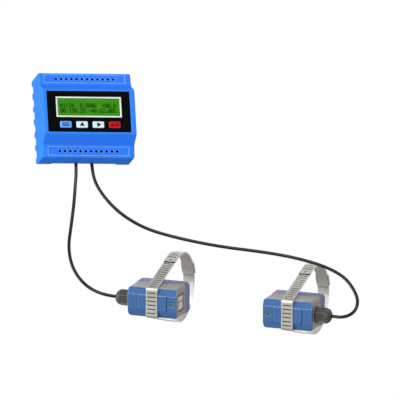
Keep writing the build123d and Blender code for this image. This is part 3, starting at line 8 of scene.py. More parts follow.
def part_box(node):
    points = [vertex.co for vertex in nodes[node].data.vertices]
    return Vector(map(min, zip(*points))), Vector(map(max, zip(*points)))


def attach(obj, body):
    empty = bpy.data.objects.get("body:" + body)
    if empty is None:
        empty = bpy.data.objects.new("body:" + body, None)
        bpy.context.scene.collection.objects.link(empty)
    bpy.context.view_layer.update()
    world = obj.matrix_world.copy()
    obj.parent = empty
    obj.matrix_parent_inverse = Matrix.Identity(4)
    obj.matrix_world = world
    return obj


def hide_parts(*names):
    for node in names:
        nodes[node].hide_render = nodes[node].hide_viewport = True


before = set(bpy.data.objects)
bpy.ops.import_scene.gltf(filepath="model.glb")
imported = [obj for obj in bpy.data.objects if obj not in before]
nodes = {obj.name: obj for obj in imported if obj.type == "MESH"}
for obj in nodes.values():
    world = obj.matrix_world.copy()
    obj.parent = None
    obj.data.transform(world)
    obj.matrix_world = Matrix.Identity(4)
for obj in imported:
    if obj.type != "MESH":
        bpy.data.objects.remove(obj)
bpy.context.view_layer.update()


# Housing base: the tray behind the cover, injection-moulded in the same blue, a shade deeper.
# Its rim stands inside the cover, and its back carries the rail channel and the fixed hook.


def new_group(name, inputs, outputs):
    """Starts a shader node group with named sockets; each input is (name, kind, start value)."""
    group = bpy.data.node_groups.new(name, "ShaderNodeTree")
    for label, kind, value in inputs:
        socket = group.interface.new_socket(label, in_out="INPUT", socket_type=kind)
        if value is not None:
            socket.default_value = value
    for label, kind in outputs:
        group.interface.new_socket(label, in_out="OUTPUT", socket_type=kind)
    return group, group.nodes.new("NodeGroupInput"), group.nodes.new("NodeGroupOutput")


# Moulded skin: a soft mottling of the colour, and a fine grain left by the mould
skin_spread = 0.16
moulded_skin, skin_in, skin_out = new_group(
    "moulded skin",
    [
        ("Vector", "NodeSocketVector", None),
        ("Color", "NodeSocketColor", (0.5, 0.5, 0.5, 1)),
        ("Mottle", "NodeSocketFloat", 0.12),
        ("Roughness", "NodeSocketFloat", 0.4),
        ("Grain Scale", "NodeSocketFloat", 2600.0),
    ],
    [("Color", "NodeSocketColor"), ("Roughness", "NodeSocketFloat"), ("Height", "NodeSocketFloat")],
)
cloud = moulded_skin.nodes.new("ShaderNodeTexNoise")
cloud.inputs["Scale"].default_value = 38
cloud.inputs["Detail"].default_value = 4
moulded_skin.links.new(skin_in.outputs["Vector"], cloud.inputs["Vector"])
darken = moulded_skin.nodes.new("ShaderNodeMath")
darken.operation = "MULTIPLY"
moulded_skin.links.new(cloud.outputs["Fac"], darken.inputs[0])
moulded_skin.links.new(skin_in.outputs["Mottle"], darken.inputs[1])
tint = moulded_skin.nodes.new("ShaderNodeMix")
tint.data_type = "RGBA"
tint.blend_type = "MULTIPLY"
tint.inputs["B"].default_value = (0.35, 0.35, 0.4, 1)
moulded_skin.links.new(darken.outputs[0], tint.inputs["Factor"])
moulded_skin.links.new(skin_in.outputs["Color"], tint.inputs["A"])
moulded_skin.links.new(tint.outputs["Result"], skin_out.inputs["Color"])
grain = moulded_skin.nodes.new("ShaderNodeTexNoise")
grain.inputs["Detail"].default_value = 2
moulded_skin.links.new(skin_in.outputs["Vector"], grain.inputs["Vector"])
moulded_skin.links.new(skin_in.outputs["Grain Scale"], grain.inputs["Scale"])
moulded_skin.links.new(grain.outputs["Fac"], skin_out.inputs["Height"])
spread = moulded_skin.nodes.new("ShaderNodeMath")
spread.operation = "MULTIPLY_ADD"
spread.inputs[1].default_value = skin_spread
moulded_skin.links.new(cloud.outputs["Fac"], spread.inputs[0])
moulded_skin.links.new(skin_in.outputs["Roughness"], spread.inputs[2])
moulded_skin.links.new(spread.outputs[0], skin_out.inputs["Roughness"])

# Edge rub and painted highlight: paler where two faces meet, partly as wear and partly as a painted
# highlight of the light an edge catches, broken up by noise, with the edge itself rounded off.
# With its upper-only input at 1 it keeps to the upper edges of a face that leans down as the lids
# do, whose normal has a z of about -0.43, so that the highlight is painted only where light from
# above falls.
edge_rub_and_highlight, rub_and_highlight_in, rub_and_highlight_out = new_group(
    "edge rub_and_highlight",
    [
        ("Vector", "NodeSocketVector", None),
        ("Width", "NodeSocketFloat", 0.0006),
        ("Least Turn", "NodeSocketFloat", 0.90),
        ("Upper Highlight Only", "NodeSocketFloat", 0.0),
    ],
    [("Mask", "NodeSocketFloat"), ("Normal", "NodeSocketVector")],
)
rounded = edge_rub_and_highlight.nodes.new("ShaderNodeBevel")
rounded.samples = 6
edge_rub_and_highlight.links.new(rub_and_highlight_in.outputs["Width"], rounded.inputs["Radius"])
plain_face = edge_rub_and_highlight.nodes.new("ShaderNodeNewGeometry")
agreement = edge_rub_and_highlight.nodes.new("ShaderNodeVectorMath")
agreement.operation = "DOT_PRODUCT"
edge_rub_and_highlight.links.new(rounded.outputs["Normal"], agreement.inputs[0])
edge_rub_and_highlight.links.new(plain_face.outputs["Normal"], agreement.inputs[1])
turned = edge_rub_and_highlight.nodes.new("ShaderNodeMapRange")
turned.inputs["From Min"].default_value = 0.999
edge_rub_and_highlight.links.new(agreement.outputs["Value"], turned.inputs["Value"])
edge_rub_and_highlight.links.new(rub_and_highlight_in.outputs["Least Turn"], turned.inputs["From Max"])
patches = edge_rub_and_highlight.nodes.new("ShaderNodeTexNoise")
patches.inputs["Scale"].default_value = 220
patches.inputs["Detail"].default_value = 3
edge_rub_and_highlight.links.new(rub_and_highlight_in.outputs["Vector"], patches.inputs["Vector"])
uneven = edge_rub_and_highlight.nodes.new("ShaderNodeMapRange")
uneven.inputs["From Min"].default_value = 0.25
uneven.inputs["From Max"].default_value = 0.6
uneven.inputs["To Min"].default_value = 0.7
edge_rub_and_highlight.links.new(patches.outputs["Fac"], uneven.inputs["Value"])
broken = edge_rub_and_highlight.nodes.new("ShaderNodeMath")
broken.operation = "MULTIPLY"
edge_rub_and_highlight.links.new(turned.outputs["Result"], broken.inputs[0])
edge_rub_and_highlight.links.new(uneven.outputs["Result"], broken.inputs[1])
tilt = edge_rub_and_highlight.nodes.new("ShaderNodeSeparateXYZ")
edge_rub_and_highlight.links.new(rounded.outputs["Normal"], tilt.inputs["Vector"])
faces_up = edge_rub_and_highlight.nodes.new("ShaderNodeMapRange")
faces_up.inputs["From Min"].default_value = -0.5
faces_up.inputs["From Max"].default_value = -0.35
edge_rub_and_highlight.links.new(tilt.outputs["Z"], faces_up.inputs["Value"])
upper_highlight_share = edge_rub_and_highlight.nodes.new("ShaderNodeMix")
upper_highlight_share.inputs["A"].default_value = 1.0
edge_rub_and_highlight.links.new(rub_and_highlight_in.outputs["Upper Highlight Only"], upper_highlight_share.inputs["Factor"])
edge_rub_and_highlight.links.new(faces_up.outputs["Result"], upper_highlight_share.inputs["B"])
kept = edge_rub_and_highlight.nodes.new("ShaderNodeMath")
kept.operation = "MULTIPLY"
edge_rub_and_highlight.links.new(broken.outputs[0], kept.inputs[0])
edge_rub_and_highlight.links.new(upper_highlight_share.outputs["Result"], kept.inputs[1])
edge_rub_and_highlight.links.new(kept.outputs[0], rub_and_highlight_out.inputs["Mask"])
edge_rub_and_highlight.links.new(rounded.outputs["Normal"], rub_and_highlight_out.inputs["Normal"])

# Painted shade: a mask for the narrow slots and corners that light hardly reaches, which darkens
# them as shade would
recess_shade, shade_in, shade_out = new_group(
    "recess shade",
    [("Reach", "NodeSocketFloat", 0.001), ("Amount", "NodeSocketFloat", 0.5)],
    [("Mask", "NodeSocketFloat")],
)
shelter = recess_shade.nodes.new("ShaderNodeAmbientOcclusion")
shelter.samples = 8
shelter.only_local = True
recess_shade.links.new(shade_in.outputs["Reach"], shelter.inputs["Distance"])
narrow = recess_shade.nodes.new("ShaderNodeMapRange")
narrow.inputs["From Min"].default_value = 0.96
narrow.inputs["From Max"].default_value = 0.80
recess_shade.links.new(shelter.outputs["AO"], narrow.inputs["Value"])
share = recess_shade.nodes.new("ShaderNodeMath")
share.operation = "MULTIPLY"
recess_shade.links.new(narrow.outputs["Result"], share.inputs[0])
recess_shade.links.new(shade_in.outputs["Amount"], share.inputs[1])
recess_shade.links.new(share.outputs[0], shade_out.inputs["Mask"])


def finish_over(tree, layer, edge, shade, relief_strength):
    """Lays edge wear with painted highlights, painted shade in recesses and relief over a layer's
    colour, roughness and height in a material.
    """
    edge_color, width, least_turn, upper_highlight_only = edge
    shade_color, reach, amount = shade
    relief_depth = 0.00005
    shader = tree.nodes["Principled BSDF"]
    place = tree.nodes.new("ShaderNodeTexCoord")
    rub_and_highlight = tree.nodes.new("ShaderNodeGroup")
    rub_and_highlight.node_tree = edge_rub_and_highlight
    rub_and_highlight.inputs["Width"].default_value = width
    rub_and_highlight.inputs["Least Turn"].default_value = least_turn
    rub_and_highlight.inputs["Upper Highlight Only"].default_value = upper_highlight_only
    tree.links.new(place.outputs["Object"], rub_and_highlight.inputs["Vector"])
    rubbed_and_highlighted = tree.nodes.new("ShaderNodeMix")
    rubbed_and_highlighted.data_type = "RGBA"
    rubbed_and_highlighted.inputs["B"].default_value = (*edge_color, 1)
    tree.links.new(rub_and_highlight.outputs["Mask"], rubbed_and_highlighted.inputs["Factor"])
    tree.links.new(layer.outputs["Color"], rubbed_and_highlighted.inputs["A"])
    painted_shade = tree.nodes.new("ShaderNodeGroup")
    painted_shade.node_tree = recess_shade
    painted_shade.inputs["Reach"].default_value = reach
    painted_shade.inputs["Amount"].default_value = amount
    shaded = tree.nodes.new("ShaderNodeMix")
    shaded.data_type = "RGBA"
    shaded.inputs["B"].default_value = (*shade_color, 1)
    tree.links.new(painted_shade.outputs["Mask"], shaded.inputs["Factor"])
    tree.links.new(rubbed_and_highlighted.outputs["Result"], shaded.inputs["A"])
    tree.links.new(shaded.outputs["Result"], shader.inputs["Base Color"])
    tree.links.new(layer.outputs["Roughness"], shader.inputs["Roughness"])
    relief = tree.nodes.new("ShaderNodeBump")
    relief.inputs["Strength"].default_value = relief_strength
    relief.inputs["Distance"].default_value = relief_depth
    tree.links.new(layer.outputs["Height"], relief.inputs["Height"])
    tree.links.new(rub_and_highlight.outputs["Normal"], relief.inputs["Normal"])
    tree.links.new(relief.outputs["Normal"], shader.inputs["Normal"])
    return shader


def moulding(
    name,
    color,
    edge_color,
    roughness=0.4,
    shine=0.2,
    mottle=0.1,
    grain=0.12,
    edge_width=0.0006,
    least_turn=0.90,
    upper_highlight_only=0.0,
):
    """A moulded plastic: mottled colour, fine grain, edges painted paler as wear and as a highlight
    and rounded off, and painted shade in its corners.
    """
    # Painted shade: corners and recesses that light hardly reaches are darkened towards a quarter
    # of the colour
    in_corners = [part * 0.25 for part in color]
    corner_reach = 0.0012
    corner_shade = 0.35
    plastic = bpy.data.materials.new(name)
    plastic.use_nodes = True
    tree = plastic.node_tree
    place = tree.nodes.new("ShaderNodeTexCoord")
    skin = tree.nodes.new("ShaderNodeGroup")
    skin.node_tree = moulded_skin
    skin.inputs["Color"].default_value = (*color, 1)
    skin.inputs["Mottle"].default_value = mottle
    skin.inputs["Roughness"].default_value = roughness - skin_spread / 2
    tree.links.new(place.outputs["Object"], skin.inputs["Vector"])
    shader = finish_over(
        tree,
        skin,
        (edge_color, edge_width, least_turn, upper_highlight_only),
        (in_corners, corner_reach, corner_shade),
        grain,
    )
    shader.inputs["Specular IOR Level"].default_value = shine
    return plastic


def dress(names, finish):
    """Gives each named node the one finish all over."""
    for name in names:
        mesh = nodes[name].data
        mesh.materials.clear()
        mesh.materials.append(finish)


base_blue = moulding(
    "base blue", (0.012, 0.08, 0.60), (0.04, 0.2, 0.8), roughness=0.5, shine=0.02
)
dress(["housing_base"], base_blue)


# Rail clip: a black moulded slider in the tray's guide, with a slot for a screwdriver. It is
# pulled down against its spring to let the module off the rail.
clip_black = moulding("clip black", (0.02, 0.02, 0.022), (0.10, 0.10, 0.10))
dress(["rail_clip"], clip_black)


# Boards: glass-fibre laminate under green solder mask, with copper tracks below the mask. The
# main one rests on the tray's ledge and posts, the display board on the cover's posts.
solder_mask = bpy.data.materials.new("solder mask")
solder_mask.use_nodes = True
tree = solder_mask.node_tree
shader = tree.nodes["Principled BSDF"]
shader.inputs["Coat Weight"].default_value = 0.3
place = tree.nodes.new("ShaderNodeTexCoord")
upright = tree.nodes.new("ShaderNodeMapping")
upright.inputs["Rotation"].default_value = (math.pi / 2, 0, 0)
tree.links.new(place.outputs["Object"], upright.inputs["Vector"])
tracks = tree.nodes.new("ShaderNodeTexBrick")
tracks.offset = 0.37
tracks.inputs["Scale"].default_value = 90
tracks.inputs["Mortar Size"].default_value = 0.03
tracks.inputs["Color1"].default_value = (0.012, 0.12, 0.04, 1)
tracks.inputs["Color2"].default_value = (0.02, 0.16, 0.055, 1)
tracks.inputs["Mortar"].default_value = (0.05, 0.27, 0.10, 1)
tree.links.new(upright.outputs["Vector"], tracks.inputs["Vector"])
tree.links.new(tracks.outputs["Color"], shader.inputs["Base Color"])
weave = tree.nodes.new("ShaderNodeTexNoise")
weave.inputs["Scale"].default_value = 900
tree.links.new(place.outputs["Object"], weave.inputs["Vector"])
weave_range = tree.nodes.new("ShaderNodeMapRange")
weave_range.inputs["To Min"].default_value = 0.3
weave_range.inputs["To Max"].default_value = 0.5
tree.links.new(weave.outputs["Fac"], weave_range.inputs["Value"])
tree.links.new(weave_range.outputs["Result"], shader.inputs["Roughness"])
dress(["main_board", "display_board"], solder_mask)


# Board screws: zinc-plated steel pan heads, four to each board. They are driven into the
# moulded posts and hold the boards down.

# Drawn metal: fine lines along one direction, under a patchy darker film
drawn_metal, line_in, line_out = new_group(
    "drawn metal",
    [
        ("Vector", "NodeSocketVector", None),
        ("Stretch", "NodeSocketVector", (4000, 60, 4000)),
        ("Color", "NodeSocketColor", (0.6, 0.6, 0.6, 1)),
        ("Roughness", "NodeSocketFloat", 0.3),
    ],
    [("Color", "NodeSocketColor"), ("Roughness", "NodeSocketFloat"), ("Height", "NodeSocketFloat")],
)
draw_out = drawn_metal.nodes.new("ShaderNodeVectorMath")
draw_out.operation = "MULTIPLY"
drawn_metal.links.new(line_in.outputs["Vector"], draw_out.inputs[0])
drawn_metal.links.new(line_in.outputs["Stretch"], draw_out.inputs[1])
strokes = drawn_metal.nodes.new("ShaderNodeTexNoise")
strokes.inputs["Scale"].default_value = 1
strokes.inputs["Detail"].default_value = 3
drawn_metal.links.new(draw_out.outputs["Vector"], strokes.inputs["Vector"])
film = drawn_metal.nodes.new("ShaderNodeTexNoise")
film.inputs["Scale"].default_value = 60
film.inputs["Detail"].default_value = 4
drawn_metal.links.new(line_in.outputs["Vector"], film.inputs["Vector"])
film_range = drawn_metal.nodes.new("ShaderNodeMapRange")
film_range.inputs["From Min"].default_value = 0.35
film_range.inputs["From Max"].default_value = 0.75
film_range.inputs["To Max"].default_value = 0.45
drawn_metal.links.new(film.outputs["Fac"], film_range.inputs["Value"])
film_mix = drawn_metal.nodes.new("ShaderNodeMix")
film_mix.data_type = "RGBA"
film_mix.blend_type = "MULTIPLY"
film_mix.inputs["B"].default_value = (0.55, 0.53, 0.5, 1)
drawn_metal.links.new(film_range.outputs["Result"], film_mix.inputs["Factor"])
drawn_metal.links.new(line_in.outputs["Color"], film_mix.inputs["A"])
drawn_metal.links.new(film_mix.outputs["Result"], line_out.inputs["Color"])
dull = drawn_metal.nodes.new("ShaderNodeMath")
dull.operation = "MULTIPLY_ADD"
dull.inputs[1].default_value = 0.25
drawn_metal.links.new(strokes.outputs["Fac"], dull.inputs[0])
drawn_metal.links.new(line_in.outputs["Roughness"], dull.inputs[2])
drawn_metal.links.new(dull.outputs[0], line_out.inputs["Roughness"])
drawn_metal.links.new(strokes.outputs["Fac"], line_out.inputs["Height"])


def metal(name, color, roughness, stretch=(4000, 60, 4000), shade=0.6):
    """A bare metal: drawn lines, brighter rounded edges and painted shade darkening its slots."""
    worn = [min(part * 1.25, 0.95) for part in color]
    worn_width = 0.0002
    worn_turn = 0.90
    # Painted shade: slots and corners are darkened towards near black, as far as the given amount
    # asks
    slot_shade = (0.03, 0.028, 0.025)
    slot_reach = 0.0014
    line_relief = 0.1
    mean_dulling = 0.1
    bare = bpy.data.materials.new(name)
    bare.use_nodes = True
    tree = bare.node_tree
    place = tree.nodes.new("ShaderNodeTexCoord")
    lines = tree.nodes.new("ShaderNodeGroup")
    lines.node_tree = drawn_metal
    lines.inputs["Stretch"].default_value = stretch
    lines.inputs["Color"].default_value = (*color, 1)
    lines.inputs["Roughness"].default_value = roughness - mean_dulling
    tree.links.new(place.outputs["Object"], lines.inputs["Vector"])
    shader = finish_over(
        tree,
        lines,
        (worn, worn_width, worn_turn, 0.0),
        (slot_shade, slot_reach, shade),
        line_relief,
    )
    shader.inputs["Metallic"].default_value = 1.0
    return bare


zinc = metal("zinc plate", (0.50, 0.50, 0.52), 0.38)
dress(["board_screws", "display_screws"], zinc)


# Board components: power module, relay, processor and key switches in black epoxy, and three
# capacitors in plain aluminium cans, all soldered to the boards.
epoxy = moulding(
    "black epoxy", (0.018, 0.018, 0.02), (0.06, 0.06, 0.06), roughness=0.5, mottle=0.3
)
dress(["power_module", "output_relay", "processor_chip", "key_switches"], epoxy)
can_aluminium = metal("capacitor can", (0.72, 0.72, 0.74), 0.3)
dress(["capacitors"], can_aluminium)


# Ribbon link: a flat grey cable of parallel cores in one plastic skin, with a groove between
# each two of them. It is soldered to both boards.
ribbon_grey = bpy.data.materials.new("ribbon grey")
ribbon_grey.use_nodes = True
tree = ribbon_grey.node_tree
shader = tree.nodes["Principled BSDF"]
shader.inputs["Roughness"].default_value = 0.5
place = tree.nodes.new("ShaderNodeTexCoord")
cores = tree.nodes.new("ShaderNodeTexWave")
cores.wave_type = "BANDS"
cores.bands_direction = "X"
cores.inputs["Scale"].default_value = 250
cores.inputs["Distortion"].default_value = 0
tree.links.new(place.outputs["Object"], cores.inputs["Vector"])
core_color = tree.nodes.new("ShaderNodeMix")
core_color.data_type = "RGBA"
core_color.inputs["A"].default_value = (0.22, 0.22, 0.24, 1)
core_color.inputs["B"].default_value = (0.5, 0.5, 0.52, 1)
tree.links.new(cores.outputs["Fac"], core_color.inputs["Factor"])
tree.links.new(core_color.outputs["Result"], shader.inputs["Base Color"])
dress(["ribbon_link"], ribbon_grey)


# Terminal blocks: green moulded bodies along the board's upper and lower edges, each with
# twelve wire entries in its outer side and a slotted clamping screw for each entry.
terminal_green = moulding("terminal green", (0.03, 0.15, 0.11), (0.2, 0.42, 0.3), roughness=0.45)
dress(["top_terminal_block", "bottom_terminal_block"], terminal_green)
dress(["top_terminal_screws", "bottom_terminal_screws"], zinc)


# Housing cover: one royal-blue moulding with sloping shoulders and terminal shelves.
# Seven snap tabs on each side hold it to the tray, and it carries the display board inside.
cover_blue = moulding(
    "cover blue",
    (0.034, 0.225, 1.0),
    (0.11, 0.46, 1.0),
    roughness=0.5,
    shine=0.01,
    least_turn=0.94,
)
dress(["housing_cover"], cover_blue)


# Terminal strips: snap-in covers in the same blue, with a raised rim painted paler where the light
# catches it, a painted highlight, and twelve round holes for the screwdriver, seated in the cover's
# shelves.
strip_blue = moulding(
    "strip blue",
    (0.034, 0.20, 1.0),
    (0.26, 0.64, 1.0),
    roughness=0.45,
    shine=0.03,
    edge_width=0.0008,
    least_turn=0.97,
)
dress(["top_terminal_strip", "bottom_terminal_strip"], strip_blue)


# Screen: a bright steel bezel round a green liquid-crystal cell, lit from behind by a diffuser
# block. The cell shows two rows of dark dots that form numbers.
bezel_steel = metal("bezel steel", (0.70, 0.76, 0.73), 0.30, shade=0.2)
dress(["lcd_bezel"], bezel_steel)
diffuser = moulding("diffuser", (0.35, 0.65, 0.2), (0.5, 0.8, 0.3), roughness=0.5)
dress(["lcd_backlight"], diffuser)
screen_green = bpy.data.materials.new("screen green")
screen_green.use_nodes = True
tree = screen_green.node_tree
shader = tree.nodes["Principled BSDF"]
shader.inputs["Roughness"].default_value = 0.3
shader.inputs["Specular IOR Level"].default_value = 0.12
place = tree.nodes.new("ShaderNodeTexCoord")
glow = tree.nodes.new("ShaderNodeTexNoise")
glow.inputs["Scale"].default_value = 30
tree.links.new(place.outputs["Object"], glow.inputs["Vector"])
glow_color = tree.nodes.new("ShaderNodeMix")
glow_color.data_type = "RGBA"
glow_color.inputs["A"].default_value = (0.030, 0.20, 0.002, 1)
glow_color.inputs["B"].default_value = (0.046, 0.27, 0.004, 1)
tree.links.new(glow.outputs["Fac"], glow_color.inputs["Factor"])
tree.links.new(glow_color.outputs["Result"], shader.inputs["Base Color"])
dress(["lcd_glass"], screen_green)


def piece(name, shape, finish, body, smooth=False):
    """Makes a finished piece of a bmesh: its object, its finish and the body that it rides on."""
    mesh = bpy.data.meshes.new(name)
    shape.to_mesh(mesh)
    shape.free()
    mesh.materials.append(finish)
    if smooth:
        mesh.shade_smooth()
    made = bpy.data.objects.new(name, mesh)
    bpy.context.scene.collection.objects.link(made)
    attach(made, body)
    return made


def patch(shape, place, across, along):
    """Adds a flat rectangle to a bmesh, facing along the place's own z."""
    bmesh.ops.create_grid(
        shape,
        x_segments=1,
        y_segments=1,
        size=0.5,
        matrix=place @ Matrix.Diagonal((across, along, 1, 1)),
    )


# Five by seven dots for each sign that the cell shows
signs = {
    "0": "01110 10001 10011 10101 11001 10001 01110",
    "1": "00100 01100 00100 00100 00100 00100 01110",
    "2": "01110 10001 00001 00010 00100 01000 11111",
    "4": "00010 00110 01010 10010 11111 00010 00010",
    "5": "11111 10000 11110 00001 00001 10001 01110",
    "6": "00110 01000 10000 11110 10001 10001 01110",
    "8": "01110 10001 10001 01110 10001 10001 01110",
    ".": "00000 00000 00000 00000 00000 01100 01100",
    ":": "00000 01100 01100 00000 01100 01100 00000",
    "-": "00000 00000 00000 11111 00000 00000 00000",
    "+": "00000 00100 00100 11111 00100 00100 00000",
    "%": "11000 11001 00010 00100 01000 10011 00011",
}
rows = ("01:24  0.0000  +00.0", "00 150.25 -40 62.08%")
glass_low, glass_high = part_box("lcd_glass")
ink_high = 0.00003
dot_pitch = 0.00055
dot_wide = 1.15 * dot_pitch
dot_step = 0.00066
dot_high = 1.1 * dot_step
sign_pitch = 0.00304
row_pitch = 0.0057
rows_left = 0.0006
rows_low = 0.0011
first_x = (glass_low.x + glass_high.x) / 2 - rows_left - (len(rows[0]) - 1) / 2 * sign_pitch
first_z = (glass_low.z + glass_high.z) / 2 - rows_low + row_pitch / 2
dots = bmesh.new()
for row, line in enumerate(rows):
    for column, sign in enumerate(line):
        for i, marks in enumerate(signs.get(sign, "").split()):
            for j, mark in enumerate(marks):
                if mark == "1":
                    spot = (
                        first_x + column * sign_pitch + (j - 2) * dot_pitch,
                        glass_low.y - ink_high,
                        first_z - row * row_pitch + (3 - i) * dot_step,
                    )
                    facing = Matrix.Translation(spot) @ Matrix.Rotation(math.pi / 2, 4, "X")
                    patch(dots, facing, dot_wide, dot_high)
dark_cell = moulding(
    "dark cell",
    (0.001, 0.008, 0.001),
    (0.002, 0.01, 0.002),
    roughness=0.5,
    shine=0.03,
    mottle=0.3,
    grain=0.0,
)
piece("screen_dots", dots, dark_cell, "meter")


# Front panel: a satin black plastic overlay stuck in the cover's recess, with windows for the
# screen and the keys. Its upper band is bare.
panel_black = moulding(
    "panel black",
    (0.002, 0.002, 0.003),
    (0.02, 0.02, 0.025),
    roughness=0.45,
    shine=0.02,
    mottle=0.2,
    grain=0.05,
)
dress(["front_panel"], panel_black)


# Keys: glossy moulded caps, light blue, white, white and red, each with a printed sign. They
# press on the switches behind them.
for caps, name, color, edge_color, shine in (
    (["key_menu"], "key blue", (0.11, 0.39, 0.97), (0.35, 0.6, 0.95), 0.15),
    (["key_up", "key_right"], "key white", (0.60, 0.80, 0.88), (0.95, 0.95, 0.95), 0.15),
    (["key_enter"], "key red", (0.46, 0.003, 0.005), (0.9, 0.10, 0.08), 0.12),
):
    dress(caps, moulding(name, color, edge_color, roughness=0.28, shine=shine, grain=0.03))
print_black, print_navy, print_maroon = [
    moulding(name, color, edge_color, shine=0.1, mottle=0.2, grain=0.0)
    for name, color, edge_color in (
        ("print black", (0.006, 0.006, 0.008), (0.01, 0.01, 0.01)),
        ("print navy", (0.006, 0.02, 0.14), (0.01, 0.03, 0.18)),
        ("print maroon", (0.09, 0.002, 0.003), (0.1, 0.005, 0.005)),
    )
]
arrow_radius = 0.0031
bar_long, bar_thick, bar_pitch = 0.0078, 0.0009, 0.0015
mark_left, mark_right = -0.0024, 0.0034
mark_bottom, mark_top = -0.0014, 0.0022
mark_thick = 0.0010
mark_tip = 0.0019


def on_key(name, x=0.0, z=0.0, turn=0.0):
    """The place of a printed sign on a key's front, shifted from its middle and turned."""
    low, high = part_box(name)
    middle = ((low.x + high.x) / 2 + x, low.y - ink_high, (low.z + high.z) / 2 + z)
    return (
        Matrix.Translation(middle)
        @ Matrix.Rotation(math.pi / 2, 4, "X")
        @ Matrix.Rotation(turn, 4, "Z")
    )


for name, turn in (("key_up", 0.0), ("key_right", -math.pi / 2)):
    arrow = bmesh.new()
    bmesh.ops.create_circle(
        arrow, cap_ends=True, segments=3, radius=arrow_radius, matrix=on_key(name, turn=turn)
    )
    piece(f"{name}_arrow", arrow, print_black, name)
bars = bmesh.new()
for step in (-1, 0, 1):
    patch(bars, on_key("key_menu", z=step * bar_pitch), bar_long, bar_thick)
piece("key_menu_bars", bars, print_navy, "key_menu")
return_mark = bmesh.new()
foot_z = mark_bottom + mark_thick / 2
foot_middle = on_key("key_enter", (mark_left + mark_right) / 2, foot_z)
patch(return_mark, foot_middle, mark_right - mark_left, mark_thick)
rise_x = mark_right - mark_thick / 2
rise_middle = on_key("key_enter", rise_x, (mark_bottom + mark_top) / 2)
patch(return_mark, rise_middle, mark_thick, mark_top - mark_bottom)
bmesh.ops.create_circle(
    return_mark,
    cap_ends=True,
    segments=3,
    radius=mark_tip,
    matrix=on_key("key_enter", mark_left, foot_z, math.pi / 2),
)
piece("key_enter_mark", return_mark, print_maroon, "key_enter")


# Transducer feet: blue-purple flanges at the sensing side, round an amber wedge that passes the
# sound on, with the silvered crystal glued to the wedge's slant.
foot_purple = moulding(
    "foot purple", (0.17, 0.19, 0.36), (0.34, 0.38, 0.62), roughness=0.45, shine=0.08
)
dress(["left_foot", "right_foot"], foot_purple)
wedge_amber = moulding("wedge amber", (0.62, 0.46, 0.22), (0.8, 0.65, 0.4), roughness=0.25)
dress(["left_wedge", "right_wedge"], wedge_amber)
crystal_silver = metal("crystal silver", (0.75, 0.73, 0.68), 0.3)
dress(["left_crystal", "right_crystal"], crystal_silver)


# Transducer cases: warm grey moulded frames between foot and cover. The end without a gland
# has a cream plate in a recess, with a dark border and a dark bar across it.
case_grey = moulding(
    "case grey", (0.34, 0.315, 0.26), (0.55, 0.52, 0.48), roughness=0.5, mottle=0.2
)
dress(["left_case", "right_case"], case_grey)
plate_cream = moulding("plate cream", (0.68, 0.64, 0.54), (0.5, 0.45, 0.38), shine=0.15)
dress(["left_end_plate", "right_end_plate"], plate_cream)
border_brown = moulding(
    "border brown", (0.055, 0.035, 0.03), (0.09, 0.06, 0.05), roughness=0.45, shine=0.15
)

# The line that both transducers share, and each one's seat on it: x along the line, y inwards,
# z across. The right-hand transducer is turned end for end on its seat.
line_middle = (0.1585, -0.0503, -0.1979)
line_yaw, line_pitch, line_roll = [math.radians(angle) for angle in (-31.5, 12.7, 26.4)]
seat_line = (
    Matrix.Translation(line_middle)
    @ Matrix.Rotation(line_yaw, 4, "Z")
    @ Matrix.Rotation(line_pitch, 4, "Y")
    @ Matrix.Rotation(line_roll, 4, "X")
)
half_spacing = 0.0763
seats = {
    "left": seat_line @ Matrix.Translation((-half_spacing, 0, 0)),
    "right": seat_line @ Matrix.Translation((half_spacing, 0, 0)),
}
turned_seats = {
    "left": seats["left"],
    "right": seats["right"] @ Matrix.Rotation(math.pi, 4, "Y"),
}
case_end = 0.0275
plate_out = 0.062
plate_high = 0.0172
plate_wide = 0.019
rim_high = 0.0003
rim_wide = 0.0008
frame_wide = 0.0014
bar_wide = 0.0010
bar_shift = 0.0012
for side in ("left", "right"):
    end_face = turned_seats[side] @ Matrix.Translation((case_end, -plate_out, 0))
    out = Matrix.Rotation(math.pi / 2, 4, "Y")
    border = bmesh.new()
    # The border is printed over the plate's raised rim and on the flat just inside it
    for end in (1, -1):
        for raised, inset, wide in (
            (rim_high + ink_high, 0.0, rim_wide),
            (ink_high, rim_wide, frame_wide),
        ):
            across = end * ((plate_wide - wide) / 2 - inset)
            along = end * ((plate_high - wide) / 2 - inset)
            over = end_face @ Matrix.Translation((raised, 0, across)) @ out
            patch(border, over, wide, plate_high - 2 * inset)
            over = end_face @ Matrix.Translation((raised, along, 0)) @ out
            patch(border, over, plate_wide - 2 * inset, wide)
    over = end_face @ Matrix.Translation((ink_high, 0, bar_shift)) @ out
    patch(border, over, bar_wide, plate_high - 2 * rim_wide)
    piece(f"{side}_end_border", border, border_brown, "meter")


# Transducer covers: blue lids with bevelled long edges, a shallow raised field and the strap's
# saddle across the middle. Painted shade lines the field's ends and its lower edge, and one
# cross-recess screw holds each.
# The pale colour along the lids' upper bevel edges is a painted highlight, kept to the upper edges
lid_blue = moulding(
    "lid blue",
    (0.047, 0.116, 0.278),
    (0.36, 0.54, 0.82),
    roughness=0.32,
    shine=0.15,
    least_turn=0.985,
    upper_highlight_only=1.0,
)
dress(["left_cover", "right_cover"], lid_blue)
# Painted shade: the cover screws' steel is darker than the zinc elsewhere to stand for the shade in
# their recess, and their recesses are darkened in full
shaded_screw_steel = metal("shaded screw steel", (0.20, 0.27, 0.24), 0.35, shade=1.0)
dress(["left_cover_screw", "right_cover_screw"], shaded_screw_steel)
shade_line_blue = moulding(
    "shade_line blue", (0.006, 0.028, 0.13), (0.01, 0.04, 0.16), roughness=0.5, shine=0.05
)
lid_face = 0.07538
field_long = 0.032
field_wide = 0.0166
saddle_wide = 0.0136
shade_line = 0.0009
